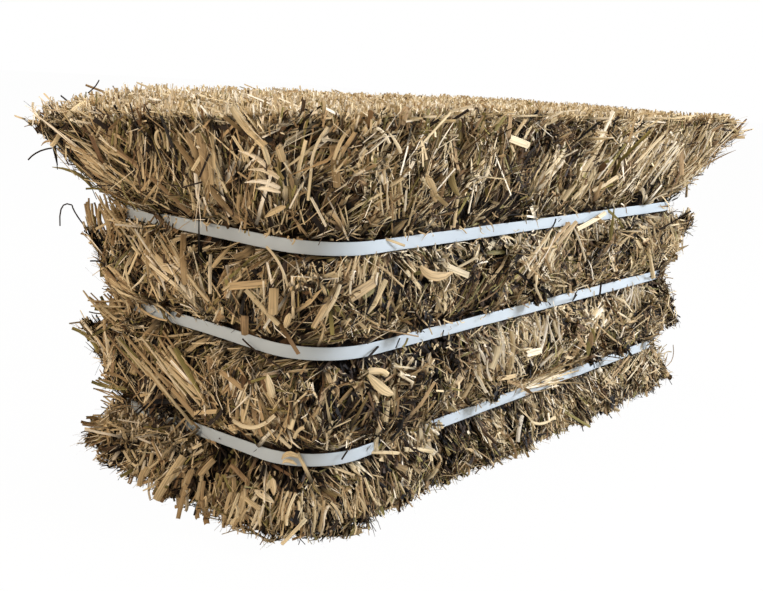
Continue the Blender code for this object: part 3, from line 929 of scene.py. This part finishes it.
def fit_band(spots, reach, low, high, upright):
    """Turns straws that would leave their band back into it, and shortens those that must."""
    ends = spots[:, 2] + reach[:, 2]
    leaving = upright & ((ends > high) | (ends < low))
    reach = np.where(leaving[:, None], -reach, reach)
    rise = reach[:, 2]
    room = np.where(rise > 0, high - spots[:, 2], spots[:, 2] - low)
    room = room / np.maximum(np.abs(rise), 1e-6)
    return reach * np.where(upright, room.clip(0.25, 1.0), 1.0)[:, None]


def lay_straws(form, spots, outward, reach, heights, stations, crossing):
    """Lines of straws that follow the bale's surface and lift off it towards their tips.

    heights is how far each root, tip and middle stands off the surface. A straw that
    isn't crossing stays between the two straps of its band.
    """
    root, tip, bow = heights
    low, high, tops = band_room(form, spots, outward)
    highest = form.band_limits(spots)[2] == len(form.straps)
    upright = (np.abs(outward[:, 2]) < 0.7) & ~crossing
    reach = fit_band(spots, reach, low, high, upright)
    middle, facing_middle = form.nearest(spots + reach * 0.5 + outward * 0.004)
    last, facing_last = form.nearest(spots + reach + outward * 0.004)
    # A straw that ends over the rim runs straight on instead of bending onto the top
    ends = spots[:, 2] + reach[:, 2]
    over_rim = ((ends > tops - OVER_RIM) & (np.abs(outward[:, 2]) < 0.7))[:, None]
    last = np.where(over_rim, spots + reach, last)
    middle = np.where(over_rim, (spots + reach * 0.5 + middle) / 2, middle)
    facing_last = np.where(over_rim, outward, facing_last)
    line = curve(spots, middle, last, stations)
    turned = normalised(outward + 0.5 * facing_middle + 0.5 * facing_last)
    shares = np.linspace(0, 1, stations)[None, :]
    height = (tip - root)[:, None] * shares**1.4
    height = height + bow[:, None] * 4 * shares * (1 - shares)
    held = (strap_distance(form, line) / STRAP_HOLD).clip(0.06, 1.0)
    height = root[:, None] + height * np.where(crossing[:, None], 1.0, held)
    line = line + turned[:, None] * height[:, :, None]
    between = np.clip(line[:, :, 2], low[:, None], high[:, None])
    line[:, :, 2] = np.where((upright & ~highest)[:, None], between, line[:, :, 2])
    floor = np.maximum(line[:, :, 2], low[:, None])
    line[:, :, 2] = np.where((upright & highest)[:, None], floor, line[:, :, 2])
    return keep_in_box(form, clear_of_straps(form, line, turned)), turned


def clear_of_straps(form, line, turned):
    """Points that would lie in a strap are pushed out over it."""
    for height, slope in form.straps:
        level = height + slope * line[:, :, 1]
        beside = np.abs(line[:, :, 2] - level) < STRAP_NEAR
        out_x = np.abs(line[:, :, 0]) - (form.half_length - STRAP_FACE)
        out_y = np.abs(line[:, :, 1]) - (form.half_width - STRAP_FACE)
        over = np.maximum(out_x, out_y)
        inside = beside & (over > 0.0) & (over < STRAP_LIFT)
        push = np.where(inside, STRAP_LIFT - over, 0.0)
        line = line + turned[:, None] * push[:, :, None]
    return line


def keep_in_box(form, line):
    """Keeps the tips within a few millimetres of the CAD bale's box and off the ground."""
    low, high = form.low - BOX_SPARE, form.high + BOX_SPARE
    low[2] = GROUND_GAP
    return np.clip(line, low, high)


def pick_tones(weights, patch, chance, count):
    """Tones drawn from shares of pale, tan, green, brown and dark straw."""
    weights = np.asarray(weights, float)[None, :] * np.ones((count, 1))
    weights[:, 0] *= np.exp(0.9 * patch)
    weights[:, 3] *= np.exp(-1.1 * patch)
    weights[:, 4] *= np.exp(-1.4 * patch)
    sums = np.cumsum(weights / weights.sum(1, keepdims=True), axis=1)
    group = (chance.random((count, 1)) > sums).sum(1).clip(0, 4)
    low, high = np.array(TONE_GROUPS).T[:, group]
    return np.floor(low + chance.random(count) * (high - low))


class Tufts:
    """Where a flake's straw gathers into tufts, each with its own lie, height and tone."""

    # Distances along the bale, across it and up it count by these shares
    SCALE = np.array([1.0, 1.0, 0.62])
    PART = 4000

    def __init__(self, form, name, chance):
        area = END_AREA if name in (FLAKES[0], FLAKES[-1]) else INNER_AREA
        count = int(area / TUFT_SPACING**2)
        self.centres, _ = sample_surface(form, name, count, chance)
        self.turn = chance.normal(0, 1, count)
        self.tone = chance.normal(0, 1, count)
        self.rise = chance.normal(0, 1, count)
        high = form.band_limits(self.centres)[2] == len(form.straps)
        self.hollow = chance.random(count) < np.where(high, TOP_HOLLOW_SHARE, HOLLOW_SHARE)

    def around(self, spots):
        """Each spot's tuft, and how deep inside it the spot lies: 0 at its edge and 1 well in."""
        near = np.zeros(len(spots), int)
        inside = np.zeros(len(spots))
        # In parts, because each part is held against every tuft at once
        for start in range(0, len(spots), self.PART):
            part = slice(start, start + self.PART)
            apart = (spots[part, None] - self.centres[None]) * self.SCALE
            apart = np.linalg.norm(apart, axis=2)
            order = np.argpartition(apart, 1, axis=1)[:, :2]
            pair = np.take_along_axis(apart, order, axis=1)
            first = pair.argmin(1)
            near[part] = np.take_along_axis(order, first[:, None], axis=1)[:, 0]
            inside[part] = np.abs(pair[:, 1] - pair[:, 0])
        return near, (inside / (0.7 * TUFT_SPACING)).clip(0, 1)


def in_gap(form, tufts, spots, chance):
    """Whether each spot lies in a dark hollow, between two tufts or in a seam of the bale."""
    near, inside = tufts.around(spots)
    chances = np.where(tufts.hollow[near], 0.86, 0.0)
    chances = np.maximum(chances, 0.80 * (1 - 2.6 * inside).clip(0, 1))
    seam = np.min(np.abs(spots[:, :1] - form.seams[None, :]), axis=1)
    patchy = 0.5 + 0.6 * field(spots, *SEAM_PATCHES)
    chances = np.maximum(chances, (seam < SEAM_REACH) * patchy.clip(0, 0.9))
    chances = np.maximum(chances, 0.88 * form.photo_depth(spots))
    return chance.random(len(spots)) < chances


class Lay:
    """How the straws of one face lie. Lengths are in metres and angles in degrees."""

    def __init__(self, length, clump_size, clump_turn, turn, down, lift, fan=0.0, patches=SIDE_PATCHES):
        self.length = length
        self.clump_size = clump_size
        self.clump_turn = clump_turn
        self.turn = turn
        self.down = down
        self.lift = lift
        self.fan = fan
        self.patches = patches


class Layer:
    """One layer of straws, from the bottom one, painted dark as shade, to the fine strands on top."""

    def __init__(self, share, stations, ridged, length, width, depth, lift, wild, tones):
        self.share = share
        self.stations = stations
        self.ridged = ridged
        self.length = length
        self.width = width
        self.depth = depth
        self.lift = lift
        self.wild = wild
        self.tones = tones
        self.bottom = depth[0] < -0.012
        self.keeps_gaps = depth[0] > -0.009

    def triangles(self):
        return 2 * (self.stations - 1) * (2 if self.ridged else 1)


SIDE_BASE_LAY = Lay(0.023, 0.045, 17.0, 15.0, 0.80, 0.9)
SIDE_LAY = Lay(0.025, 0.045, 38.0, 24.0, 0.45, 0.9)
SIDE_TOP_LAY = Lay(0.032, 0.050, 20.0, 19.0, 0.12, 1.0)
END_BASE_LAY = Lay(0.034, 0.080, 22.0, 13.0, 0.85, 1.25, fan=-24.0, patches=END_PATCHES)
END_LAY = Lay(0.044, 0.080, 30.0, 15.0, 0.42, 0.9, fan=22.0, patches=END_PATCHES)
END_TOP_LAY = Lay(0.058, 0.080, 18.0, 11.0, 0.06, 1.0, fan=30.0, patches=END_PATCHES)
LAYERS = (
    # The bottom layer's mostly dark tones are painted shade under the straws over it
    Layer(0.19, 2, False, 0.80, 1.20, (-0.013, -0.005), 0.3, 1.5, (0.00, 0.03, 0.05, 0.30, 0.62)),
    Layer(0.30, 2, False, 0.62, 0.95, (-0.009, -0.001), 0.9, 1.4, (0.18, 0.32, 0.12, 0.22, 0.16)),
    Layer(0.13, 3, True, 1.15, 1.30, (-0.005, 0.001), 1.0, 1.0, (0.38, 0.40, 0.11, 0.08, 0.03)),
    Layer(0.16, 3, False, 0.80, 0.36, (-0.004, 0.002), 1.3, 1.7, (0.44, 0.20, 0.12, 0.12, 0.12)),
    Layer(0.22, 2, False, 0.32, 0.52, (-0.005, 0.003), 1.0, 2.4, (0.54, 0.20, 0.08, 0.09, 0.09)),
)
# The straws that hide a strap take their tones from the second layer
COVER_TONES = LAYERS[1].tones
TOP_LAYERS = (
    Layer(0.40, 2, False, 0.80, 1.00, (-0.009, -0.003), 0.0, 1.0, (0.45, 0.40, 0.07, 0.07, 0.01)),
    Layer(0.40, 2, False, 1.00, 0.90, (-0.005, 0.000), 0.0, 1.0, (0.86, 0.11, 0.02, 0.01, 0.00)),
    Layer(0.20, 3, True, 1.60, 0.90, (-0.002, 0.001), 0.0, 1.6, (0.86, 0.11, 0.02, 0.01, 0.00)),
)
END_TRIANGLES = 200000
INNER_TRIANGLES = 76000
# The common length of the short ends on top, and the length that the top darkens over
TOP_LENGTH = 0.008
TOP_LONG = 0.9
# The open surface of an end flake and of one between them, in square metres
END_AREA = 0.45
INNER_AREA = 0.13


class Roots:
    """Where a layer's straws are rooted, and where in its tuft each of them stands."""

    def __init__(self, form, tufts, spots, outward):
        self.spots = spots
        self.outward = outward
        self.count = len(spots)
        self.near, self.inside = tufts.around(spots)
        self.band = form.band_limits(spots)[2]


def aim_straws(form, tufts, roots, lay, layer, chance):
    """How far and where each straw reaches along the surface, and its length."""
    up, across = surface_axes(roots.outward)
    clump = 0.5 * field(roots.spots, lay.clump_size, CLUMPS_PLACE) + tufts.turn[roots.near]
    fan = roots.spots[:, 1] / form.half_width * np.sign(across[:, 1]) * lay.fan
    aside = dot(roots.spots - tufts.centres[roots.near], across)[:, 0] / TUFT_SPACING
    turn = chance.normal(0, lay.turn * layer.wild, roots.count) + 16.0 * aside
    angles = np.radians(fan + clump * lay.clump_turn + turn)
    flip = np.where(chance.random(roots.count) < lay.down, -1.0, 1.0)
    aim = up * np.cos(angles)[:, None] + across * np.sin(angles)[:, None]
    vary = np.exp(chance.normal(0, 0.42, roots.count)).clip(0.35, 2.6)
    length = lay.length * layer.length * vary
    return aim * (flip * length)[:, None], length


def paleness(form, tufts, roots, patches):
    """How much paler the straw is at each root, from its patch, its tuft and the rim."""
    patch = 0.8 * field(roots.spots, *patches) + 0.75 * tufts.tone[roots.near]
    # Hollows and the edges of tufts are darker: painted shade
    patch = patch - 1.6 * tufts.hollow[roots.near] - 0.9 * (1 - roots.inside) + 0.35
    rim = ((roots.spots[:, 2] - form.high[2] + PALE_DEPTH) / PALE_FADE).clip(0, 1)
    # The rim is paler, and the top band is darker as painted shade under its overhang
    patch += 1.6 * rim - 0.45 * (roots.band == len(form.straps))
    return patch + form.photo_patch(roots.spots)


def stand_straws(form, tufts, roots, lay, layer, chance):
    """How far each straw's root, tip and middle stand off the bale's surface."""
    relief = field(roots.spots, *RELIEF) * 0.0030 + tufts.rise[roots.near] * 0.0026
    relief = relief - 0.0050 * (1 - roots.inside) ** 2 - 0.0060 * tufts.hollow[roots.near]
    relief = relief - 0.0100 * form.photo_depth(roots.spots)
    root = chance.uniform(*layer.depth, roots.count) + relief
    loose = chance.exponential(1.0, roots.count).clip(0, 2.8)
    tip = root + 0.002 + 0.0056 * lay.lift * layer.lift * loose
    return root, tip, chance.normal(0.0008, 0.0016, roots.count)


def tone_straws(form, roots, root, layer, patch, crossing, covering, chance):
    """Each straw's tone: deeper straws get more painted shade, but not one on a strap."""
    tones = pick_tones(layer.tones, patch, chance, roots.count)
    under = ((form.straps[-1][0] + RIM_START - roots.spots[:, 2]) / RIM_FADE).clip(0, 1)
    sunk = DEEP_TONES * under * ((-0.0015 - root) / 0.008).clip(0, 1)
    tones = np.floor(tones + sunk * ~crossing).clip(0, TONES - 1)
    tones[covering] = pick_tones(COVER_TONES, patch, chance, roots.count)[covering]
    return tones


def keep_open(form, tufts, line, root, layer, chance):
    """Which straws are kept: those that would bridge a hollow are left out."""
    tips, middles = line[:, -1], line[:, layer.stations // 2]
    bridging = np.maximum(form.photo_depth(tips), form.photo_depth(middles))
    bridging = np.maximum(bridging, 0.8 * tufts.hollow[tufts.around(tips)[0]])
    kept = (chance.random(len(line)) > 0.88 * bridging) | (root < -0.0075)
    if layer.bottom:
        # The dark bottom layer stops short of the rim, so no dark tips stand up over it
        kept &= line[:, :, 2].max(1) < form.straps[-1][0] + RIM_DARK_TIPS
    return kept


def lay_layer(form, batch, tufts, roots, lay, layer, settings, chance):
    """Lays one layer of straws over one kind of face."""
    count = roots.count
    patch = paleness(form, tufts, roots, lay.patches)
    reach, length = aim_straws(form, tufts, roots, lay, layer, chance)
    root, tip, bow = stand_straws(form, tufts, roots, lay, layer, chance)
    crossing = chance.random(count) < CROSSING_SHARES[roots.band]
    crossing &= (length < CROSSING_LENGTH) & (not layer.bottom)
    covering = form.covered(roots.spots) & (chance.random(count) < COVER_SHARE)
    crossing |= covering
    root += COVER_ROOT * covering
    tip += COVER_TIP * covering
    vary = np.exp(chance.normal(-0.15, 0.5, count)).clip(0.35, 3.0)
    width = settings.straw_width * layer.width * vary
    tones = tone_straws(form, roots, root, layer, patch, crossing, covering, chance)
    line, turned = lay_straws(
        form, roots.spots, roots.outward, reach, (root, tip, bow), layer.stations, crossing
    )
    shapes = straw_shapes(chance.random(count), layer.stations)
    kept = keep_open(form, tufts, line, root, layer, chance)
    crowns = chance.uniform(-0.1, 0.8, kept.sum()) if layer.ridged else None
    turns = chance.normal(0, 0.55, kept.sum())
    batch.add(line[kept], turned[kept], width[kept], tones[kept], turns, shapes[kept], crowns)


def lay_top(form, batch, spots, outward, layer, settings, chance):
    """The cut side on top: a pale carpet of short ends, with a few longer straws on it."""
    count = len(spots)
    if not count:
        return
    turn = chance.uniform(0, 2 * math.pi, count)
    slope = np.abs(chance.normal(0, 42 * layer.wild, count)).clip(0, 85)
    tilt = np.radians(slope)
    level = np.column_stack([np.cos(turn), np.sin(turn), np.zeros(count)])
    aim = level * np.sin(tilt)[:, None] + np.array([0, 0, 1.0]) * np.cos(tilt)[:, None]
    spots = spots + outward * (0.004 * field(spots, *TOP_RELIEF))[:, None]
    length = TOP_LENGTH * layer.length * chance.uniform(0.6, 1.4, count)
    length *= 1 + 2.6 * (slope > 70) * chance.random(count)
    shares = np.linspace(0, 1, layer.stations)[None, :, None]
    root = spots + outward * chance.uniform(*layer.depth, count)[:, None]
    line = root[:, None] + (aim * length[:, None])[:, None] * shares
    tones = pick_tones(layer.tones, field(spots, *TOP_PATCHES), chance, count)
    # The top is a little darker towards its far end
    far_end_darkening = 4 * (0.4 + spots[:, 0] / TOP_LONG).clip(0, 1)
    tones = np.floor(tones + far_end_darkening).clip(0, TONES - 1)
    vary = np.exp(chance.normal(-0.05, 0.3, count)).clip(0.4, 2.0)
    width = settings.straw_width * layer.width * vary
    facing = normalised(np.cross(aim, level + 0.01))
    crowns = chance.uniform(0, 0.9, count) if layer.ridged else None
    shapes = straw_shapes(chance.random(count) + 0.2, layer.stations)
    turns = chance.uniform(0, math.pi, count)
    batch.add(keep_in_box(form, line), facing, width, tones, turns, shapes, crowns)


def straw_shapes(kind, stations):
    """Widths along a straw: a leaf blade narrows to its tip, and a stem keeps its width."""
    shares = np.linspace(0, 1, stations)[None, :]
    blade = 1 - 0.85 * shares**2.2
    stem = 1 - 0.12 * shares
    return np.where(kind[:, None] < 0.3, blade, stem) * np.ones((len(kind), 1))


def photo_ray(pixel):
    """The direction from the photograph's camera through a pixel."""
    ahead, right, up = camera_axes()
    across = (float(pixel[0]) - IMAGE_WIDTH / 2) / FOCAL_LENGTH_PX
    down = (float(pixel[1]) - IMAGE_HEIGHT / 2) / FOCAL_LENGTH_PX
    return (ahead + across * right - down * up).normalized()


def tuft_straws():
    """Each straw of the photograph's tufts, with how far it stands off the bale."""
    chance = np.random.default_rng(TUFT_SEED)
    for tone, width, count, starts, ends in PHOTO_TUFTS:
        starts, ends = np.array(starts), np.array(ends)
        for share in chance.random(count):
            start = starts[0] + (starts[1] - starts[0]) * share
            start = start + chance.normal(0, START_STRAY, 2)
            end = ends[0] + (ends[1] - ends[0]) * share + chance.normal(0, END_STRAY, 2)
            first = start + (end - start) * chance.uniform(0, 0.5)
            last = end + (start - end) * chance.uniform(0, 0.4)
            middle = (first + last) / 2 + chance.normal(0, MIDDLE_STRAY, 2)
            kind = "blade" if chance.random() < 0.3 else "stem"
            lift = chance.uniform(0.001, 0.011)
            # The straws that lie under the others are painted darker, as painted shade
            shade = tone + chance.integers(-5, 5) + (0.006 - lift) / 0.001
            wide = width * math.exp(chance.normal(-0.2, 0.3))
            yield lift, int(np.clip(shade, 0, TONES - 1)), wide, kind, first, middle, last


def photo_line(form, pixels, lift):
    """Three points on the bale that the photograph shows at two or three pixels."""
    camera = Vector(CAMERA_PLACE)
    if len(pixels) == 2:
        (left, top), (right, base) = pixels
        pixels = (pixels[0], ((left + right) / 2, (top + base) / 2), pixels[1])
    rays = [photo_ray(pixel) for pixel in pixels]
    hits = [form.tree.ray_cast(camera, ray) for ray in rays]
    depths = [hit[3] for hit in hits if hit[0]]
    nearest = min(depths) if depths else FAR_CORNER_DEPTH
    points = []
    for ray, (place, facing, _, depth) in zip(rays, hits):
        if place is None or depth > nearest + PHOTO_JUMP:
            # The ray passes the bale's edge, so the straw hangs free beside it
            place, facing = camera + ray * (nearest + PHOTO_HANG - 3 * lift), -ray
        points.append(place + (facing - ray).normalized() * lift)
    return points, -rays[1], bool(depths)


def lay_photo_straws(form, batch, name):
    """The straws that stand out in the photograph, on the flake that they grow from."""
    seams = np.sort(form.seams)
    rows = []
    straws = [(PHOTO_STRAW_LIFT, *straw) for straw in PHOTO_STRAWS]
    for lift, tone, width, kind, *pixels in (*straws, *tuft_straws()):
        points, facing, touching = photo_line(form, pixels, lift)
        # A tuft's straws have to touch the bale, and only the single wisps may hang beside it
        hanging = not touching and lift != PHOTO_STRAW_LIFT
        if hanging or np.digitize(points[0].x, seams) != FLAKES.index(name):
            continue
        line = curve(*np.array(points), PHOTO_STATIONS)
        rows.append((line, facing, width, tone, PHOTO_SHAPES[kind]))
    if not rows:
        return
    lines, facings, widths, tones, shapes = [np.array(column) for column in zip(*rows)]
    lines = keep_in_box(form, lines)
    lines[:, :, 2] = np.minimum(lines[:, :, 2], form.high[2] + PHOTO_TOP_SPARE)
    turns, crowns = np.zeros(len(rows)), np.full(len(rows), PHOTO_CROWN)
    batch.add(lines, facings, widths, tones, turns, shapes, crowns, start_at=PHOTO_START)


def side_regions(form, spots, outward):
    """Which spots lie on each kind of face, and how that face's straws lie."""
    on_top = outward[:, 2] > 0.72
    on_end = ~on_top & (np.abs(outward[:, 0]) > 0.6)
    on_side = ~on_top & ~on_end
    band = form.band_limits(spots)[2]
    base, highest = band == 0, band == len(form.straps)
    regions = (
        (on_side & base, SIDE_BASE_LAY),
        (on_side & ~base & ~highest, SIDE_LAY),
        (on_side & highest, SIDE_TOP_LAY),
        (on_end & base, END_BASE_LAY),
        (on_end & ~base & ~highest, END_LAY),
        (on_end & highest, END_TOP_LAY),
    )
    return on_top, regions


def dress_flake(form, name, settings, material):
    """The piece that stands for one flake."""
    number = FLAKES.index(name)
    chance = np.random.default_rng(settings.seed * 100 + number)
    end_flake = number in (0, len(FLAKES) - 1)
    batch = StrawBatch()
    tufts = Tufts(form, name, chance)
    budget = (END_TRIANGLES if end_flake else INNER_TRIANGLES) * settings.density
    cost = sum(layer.share * layer.triangles() for layer in LAYERS)
    total = int(budget / cost)
    for layer, top_layer in zip(LAYERS, (*TOP_LAYERS, None, None)):
        spots, outward = sample_surface(form, name, int(total * layer.share), chance)
        on_top, regions = side_regions(form, spots, outward)
        for chosen, lay in regions:
            kept = np.flatnonzero(chosen)
            if layer.keeps_gaps and len(kept):
                kept = kept[~in_gap(form, tufts, spots[kept], chance)]
            if len(kept):
                roots = Roots(form, tufts, spots[kept], outward[kept])
                lay_layer(form, batch, tufts, roots, lay, layer, settings, chance)
        if top_layer:
            more = np.flatnonzero(on_top)
            more = np.concatenate([more, more[chance.random(len(more)) < 0.6]])
            shift = chance.normal(0, 0.003, (len(more), 3)) * np.array([1, 1, 0])
            spots_top = spots[more] + shift
            lay_top(form, batch, spots_top, outward[more], top_layer, settings, chance)
    lay_photo_straws(form, batch, name)
    core = dark_core(form, name, settings.core_depth, chance)
    made = batch.build(f"straw_{name}", core, material)
    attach(made, "root")
    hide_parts(name)
    return made


def strap_path(form):
    """Places round the bale on a strap's face, and the direction that it looks in at each."""
    length, width = form.half_length - CORNER_RADIUS, form.half_width - CORNER_RADIUS
    outline = []
    for end, side, first in ((1, -1, -90), (1, 1, 0), (-1, 1, 90), (-1, -1, 180)):
        middle = Vector((end * length, side * width, 0))
        for angle in range(first, first + 91, STRAP_CORNER_STEP):
            turn = math.radians(angle)
            outward = Vector((math.cos(turn), math.sin(turn), 0))
            outline.append((middle + outward * CORNER_RADIUS, outward))
    path = []
    for (place, outward), (after, turned) in zip(outline, outline[1:] + outline[:1]):
        steps = max(1, round((after - place).length / STRAP_STEP))
        for step in range(steps):
            share = step / steps
            path.append((place.lerp(after, share), outward.lerp(turned, share).normalized()))
    return path


def make_strap(form, name, material):
    """A strap like its CAD node, with round corners, a slightly hollow face and worn edges."""
    height, slope = form.straps[STRAPS.index(name)]
    joint_x = strap_joint(name)
    path = strap_path(form)
    (stray, stray_wave), (twist, twist_wave) = STRAP_STRAY, STRAP_TWIST
    points, faces = [], []
    for place, outward in path:
        wander = stray * noise.noise(place / stray_wave + Vector((height * 40, 0, 0)))
        twisted = twist * noise.noise(place / twist_wave + Vector((0, 9, height * 30)))
        at_joint = abs(place.x - joint_x) < JOINT_LENGTH / 2
        lapped = at_joint and place.y > form.half_width - JOINT_DEPTH
        for across, depth in STRAP_PROFILE:
            rise = across * STRAP_WIDTH / 2
            lap = STRAP_THICKNESS if lapped and depth > 0.5 else 0
            deep = depth * STRAP_THICKNESS + across * twisted + lap
            point = place + outward * (deep - STRAP_THICKNESS)
            points.append((point.x, point.y, height + slope * place.y + rise + wander))
    count, columns = len(path), len(STRAP_PROFILE)
    for start in range(count):
        near, far = start * columns, (start + 1) % count * columns
        for column in range(columns):
            after = (column + 1) % columns
            faces.append((near + column, far + column, far + after, near + after))
    mesh = bpy.data.meshes.new(f"fine_{name}")
    mesh.from_pydata(points, [], faces)
    mesh.polygons.foreach_set("use_smooth", np.ones(len(faces), bool))
    mesh.set_sharp_from_angle(angle=math.radians(40))
    mesh.materials.append(material)
    made = bpy.data.objects.new(f"fine_{name}", mesh)
    bpy.context.scene.collection.objects.link(made)
    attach(made, "root")
    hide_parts(name)
    return made


def strap_joint(name):
    """Where along the back a strap's ends are lapped, read off its CAD node's extra layer."""
    points = node_arrays(name)[0]
    lapped = points[:, 1] > points[:, 1].max() - 0.0002
    return float(points[lapped, 0].mean())


class BALE_OT_flakes(bpy.types.Operator):
    """Dress every flake in straws"""

    bl_idname = "bale.flakes"
    bl_label = "Dress the flakes"

    def execute(self, context):
        form = BaleForm()
        material = straw_material()
        for name in FLAKES:
            dress_flake(form, name, context.scene.bale, material)
        return {"FINISHED"}


class BALE_OT_straps(bpy.types.Operator):
    """Make the three straps"""

    bl_idname = "bale.straps"
    bl_label = "Make the straps"

    def execute(self, context):
        form = BaleForm()
        material = strap_material()
        for name in STRAPS:
            make_strap(form, name, material)
        return {"FINISHED"}


def camera_axes():
    """The photograph's camera: the directions it looks in, and its right and up."""
    yaw, pitch, roll = CAMERA_YAW, CAMERA_PITCH, CAMERA_ROLL
    ahead = Vector(
        (math.cos(pitch) * math.cos(yaw), math.cos(pitch) * math.sin(yaw), math.sin(pitch))
    )
    level = Vector((math.sin(yaw), -math.cos(yaw), 0))
    above = level.cross(ahead)
    right = math.cos(roll) * level + math.sin(roll) * above
    up = -math.sin(roll) * level + math.cos(roll) * above
    return ahead, right, up


def show_white(tree, lit, seen, share, output):
    """Shows the camera a share of plain white, while the light still meets the lit shader."""
    path = add_node(tree, "ShaderNodeLightPath")
    part = add_node(tree, "ShaderNodeMath", {1: share}, operation="MULTIPLY")
    mix = add_node(tree, "ShaderNodeMixShader")
    link = tree.links.new
    link(path.outputs["Is Camera Ray"], part.inputs[0])
    link(part.outputs[0], mix.inputs[0])
    link(lit.outputs[0], mix.inputs[1])
    link(seen.outputs[0], mix.inputs[2])
    link(mix.outputs[0], tree.nodes[output].inputs["Surface"])


def make_floor():
    """A matt white floor that shows only the bale's shadow."""
    bpy.ops.mesh.primitive_plane_add(size=FLOOR_SIZE)
    floor = bpy.context.object
    floor.name = "floor"
    paint, tree, shader = new_material(
        "white_floor", {"Base Color": linear(FLOOR_COLOUR), "Roughness": 0.9}
    )
    glow = add_node(tree, "ShaderNodeEmission", {"Strength": 1.0})
    show_white(tree, shader, glow, FLOOR_WHITE, "Material Output")
    floor.data.materials.append(paint)


def make_world(scene):
    """A faint light from all round, with white behind the bale."""
    scene.world = bpy.data.worlds.new("white_surround")
    scene.world.use_nodes = True
    tree = scene.world.node_tree
    sky = tree.nodes["Background"]
    sky.inputs["Color"].default_value = linear(SKY_COLOUR)
    sky.inputs["Strength"].default_value = SKY_STRENGTH
    white = {"Color": linear("#FFFFFF"), "Strength": 1.0}
    seen = add_node(tree, "ShaderNodeBackground", white)
    show_white(tree, sky, seen, 1.0, "World Output")


def make_lamps(scene):
    """Round lamps that all look at the bale's foot."""
    for name, place, size, energy, colour in LAMPS:
        light = bpy.data.lights.new(name, "AREA")
        light.shape = "DISK"
        light.size = size
        light.energy = energy
        light.color = linear(colour)[:3]
        lamp = bpy.data.objects.new(name, light)
        lamp.location = place
        lamp.rotation_euler = (-Vector(place)).to_track_quat("-Z", "Y").to_euler()
        scene.collection.objects.link(lamp)


def make_camera(scene):
    """The photograph's camera."""
    ahead, right, up = camera_axes()
    camera = bpy.data.objects.new("camera", bpy.data.cameras.new("camera"))
    scene.collection.objects.link(camera)
    camera.data.sensor_width = SENSOR_WIDTH
    camera.data.lens = FOCAL_LENGTH_PX * SENSOR_WIDTH / IMAGE_WIDTH
    rows = [(right[row], up[row], -ahead[row], CAMERA_PLACE[row]) for row in range(3)]
    camera.matrix_world = Matrix(rows + [(0, 0, 0, 1)])
    scene.camera = camera


class BALE_OT_stage(bpy.types.Operator):
    """Make the floor, the light and the photograph's camera"""

    bl_idname = "bale.stage"
    bl_label = "Make the stage"

    def execute(self, context):
        make_floor()
        make_world(context.scene)
        make_lamps(context.scene)
        make_camera(context.scene)
        context.scene.view_settings.view_transform = "Standard"
        return {"FINISHED"}


class BALE_PT_panel(bpy.types.Panel):
    """The bale's settings and its buttons"""

    bl_label = "Straw bale"
    bl_idname = "BALE_PT_panel"
    bl_space_type = "VIEW_3D"
    bl_region_type = "UI"
    bl_category = "Bale"

    def draw(self, context):
        settings = context.scene.bale
        for name in ("density", "seed", "straw_width", "core_depth"):
            self.layout.prop(settings, name)
        for operator in (BALE_OT_flakes, BALE_OT_straps, BALE_OT_stage):
            self.layout.operator(operator.bl_idname)


CLASSES = (BaleSettings, BALE_OT_flakes, BALE_OT_straps, BALE_OT_stage, BALE_PT_panel)


def register():
    for entry in CLASSES:
        bpy.utils.register_class(entry)
    bpy.types.Scene.bale = PointerProperty(type=BaleSettings)


def unregister():
    del bpy.types.Scene.bale
    for entry in reversed(CLASSES):
        bpy.utils.unregister_class(entry)


def main():
    register()
    bpy.ops.bale.flakes()
    bpy.ops.bale.straps()
    bpy.ops.bale.stage()


if __name__ == "__main__":
    main()
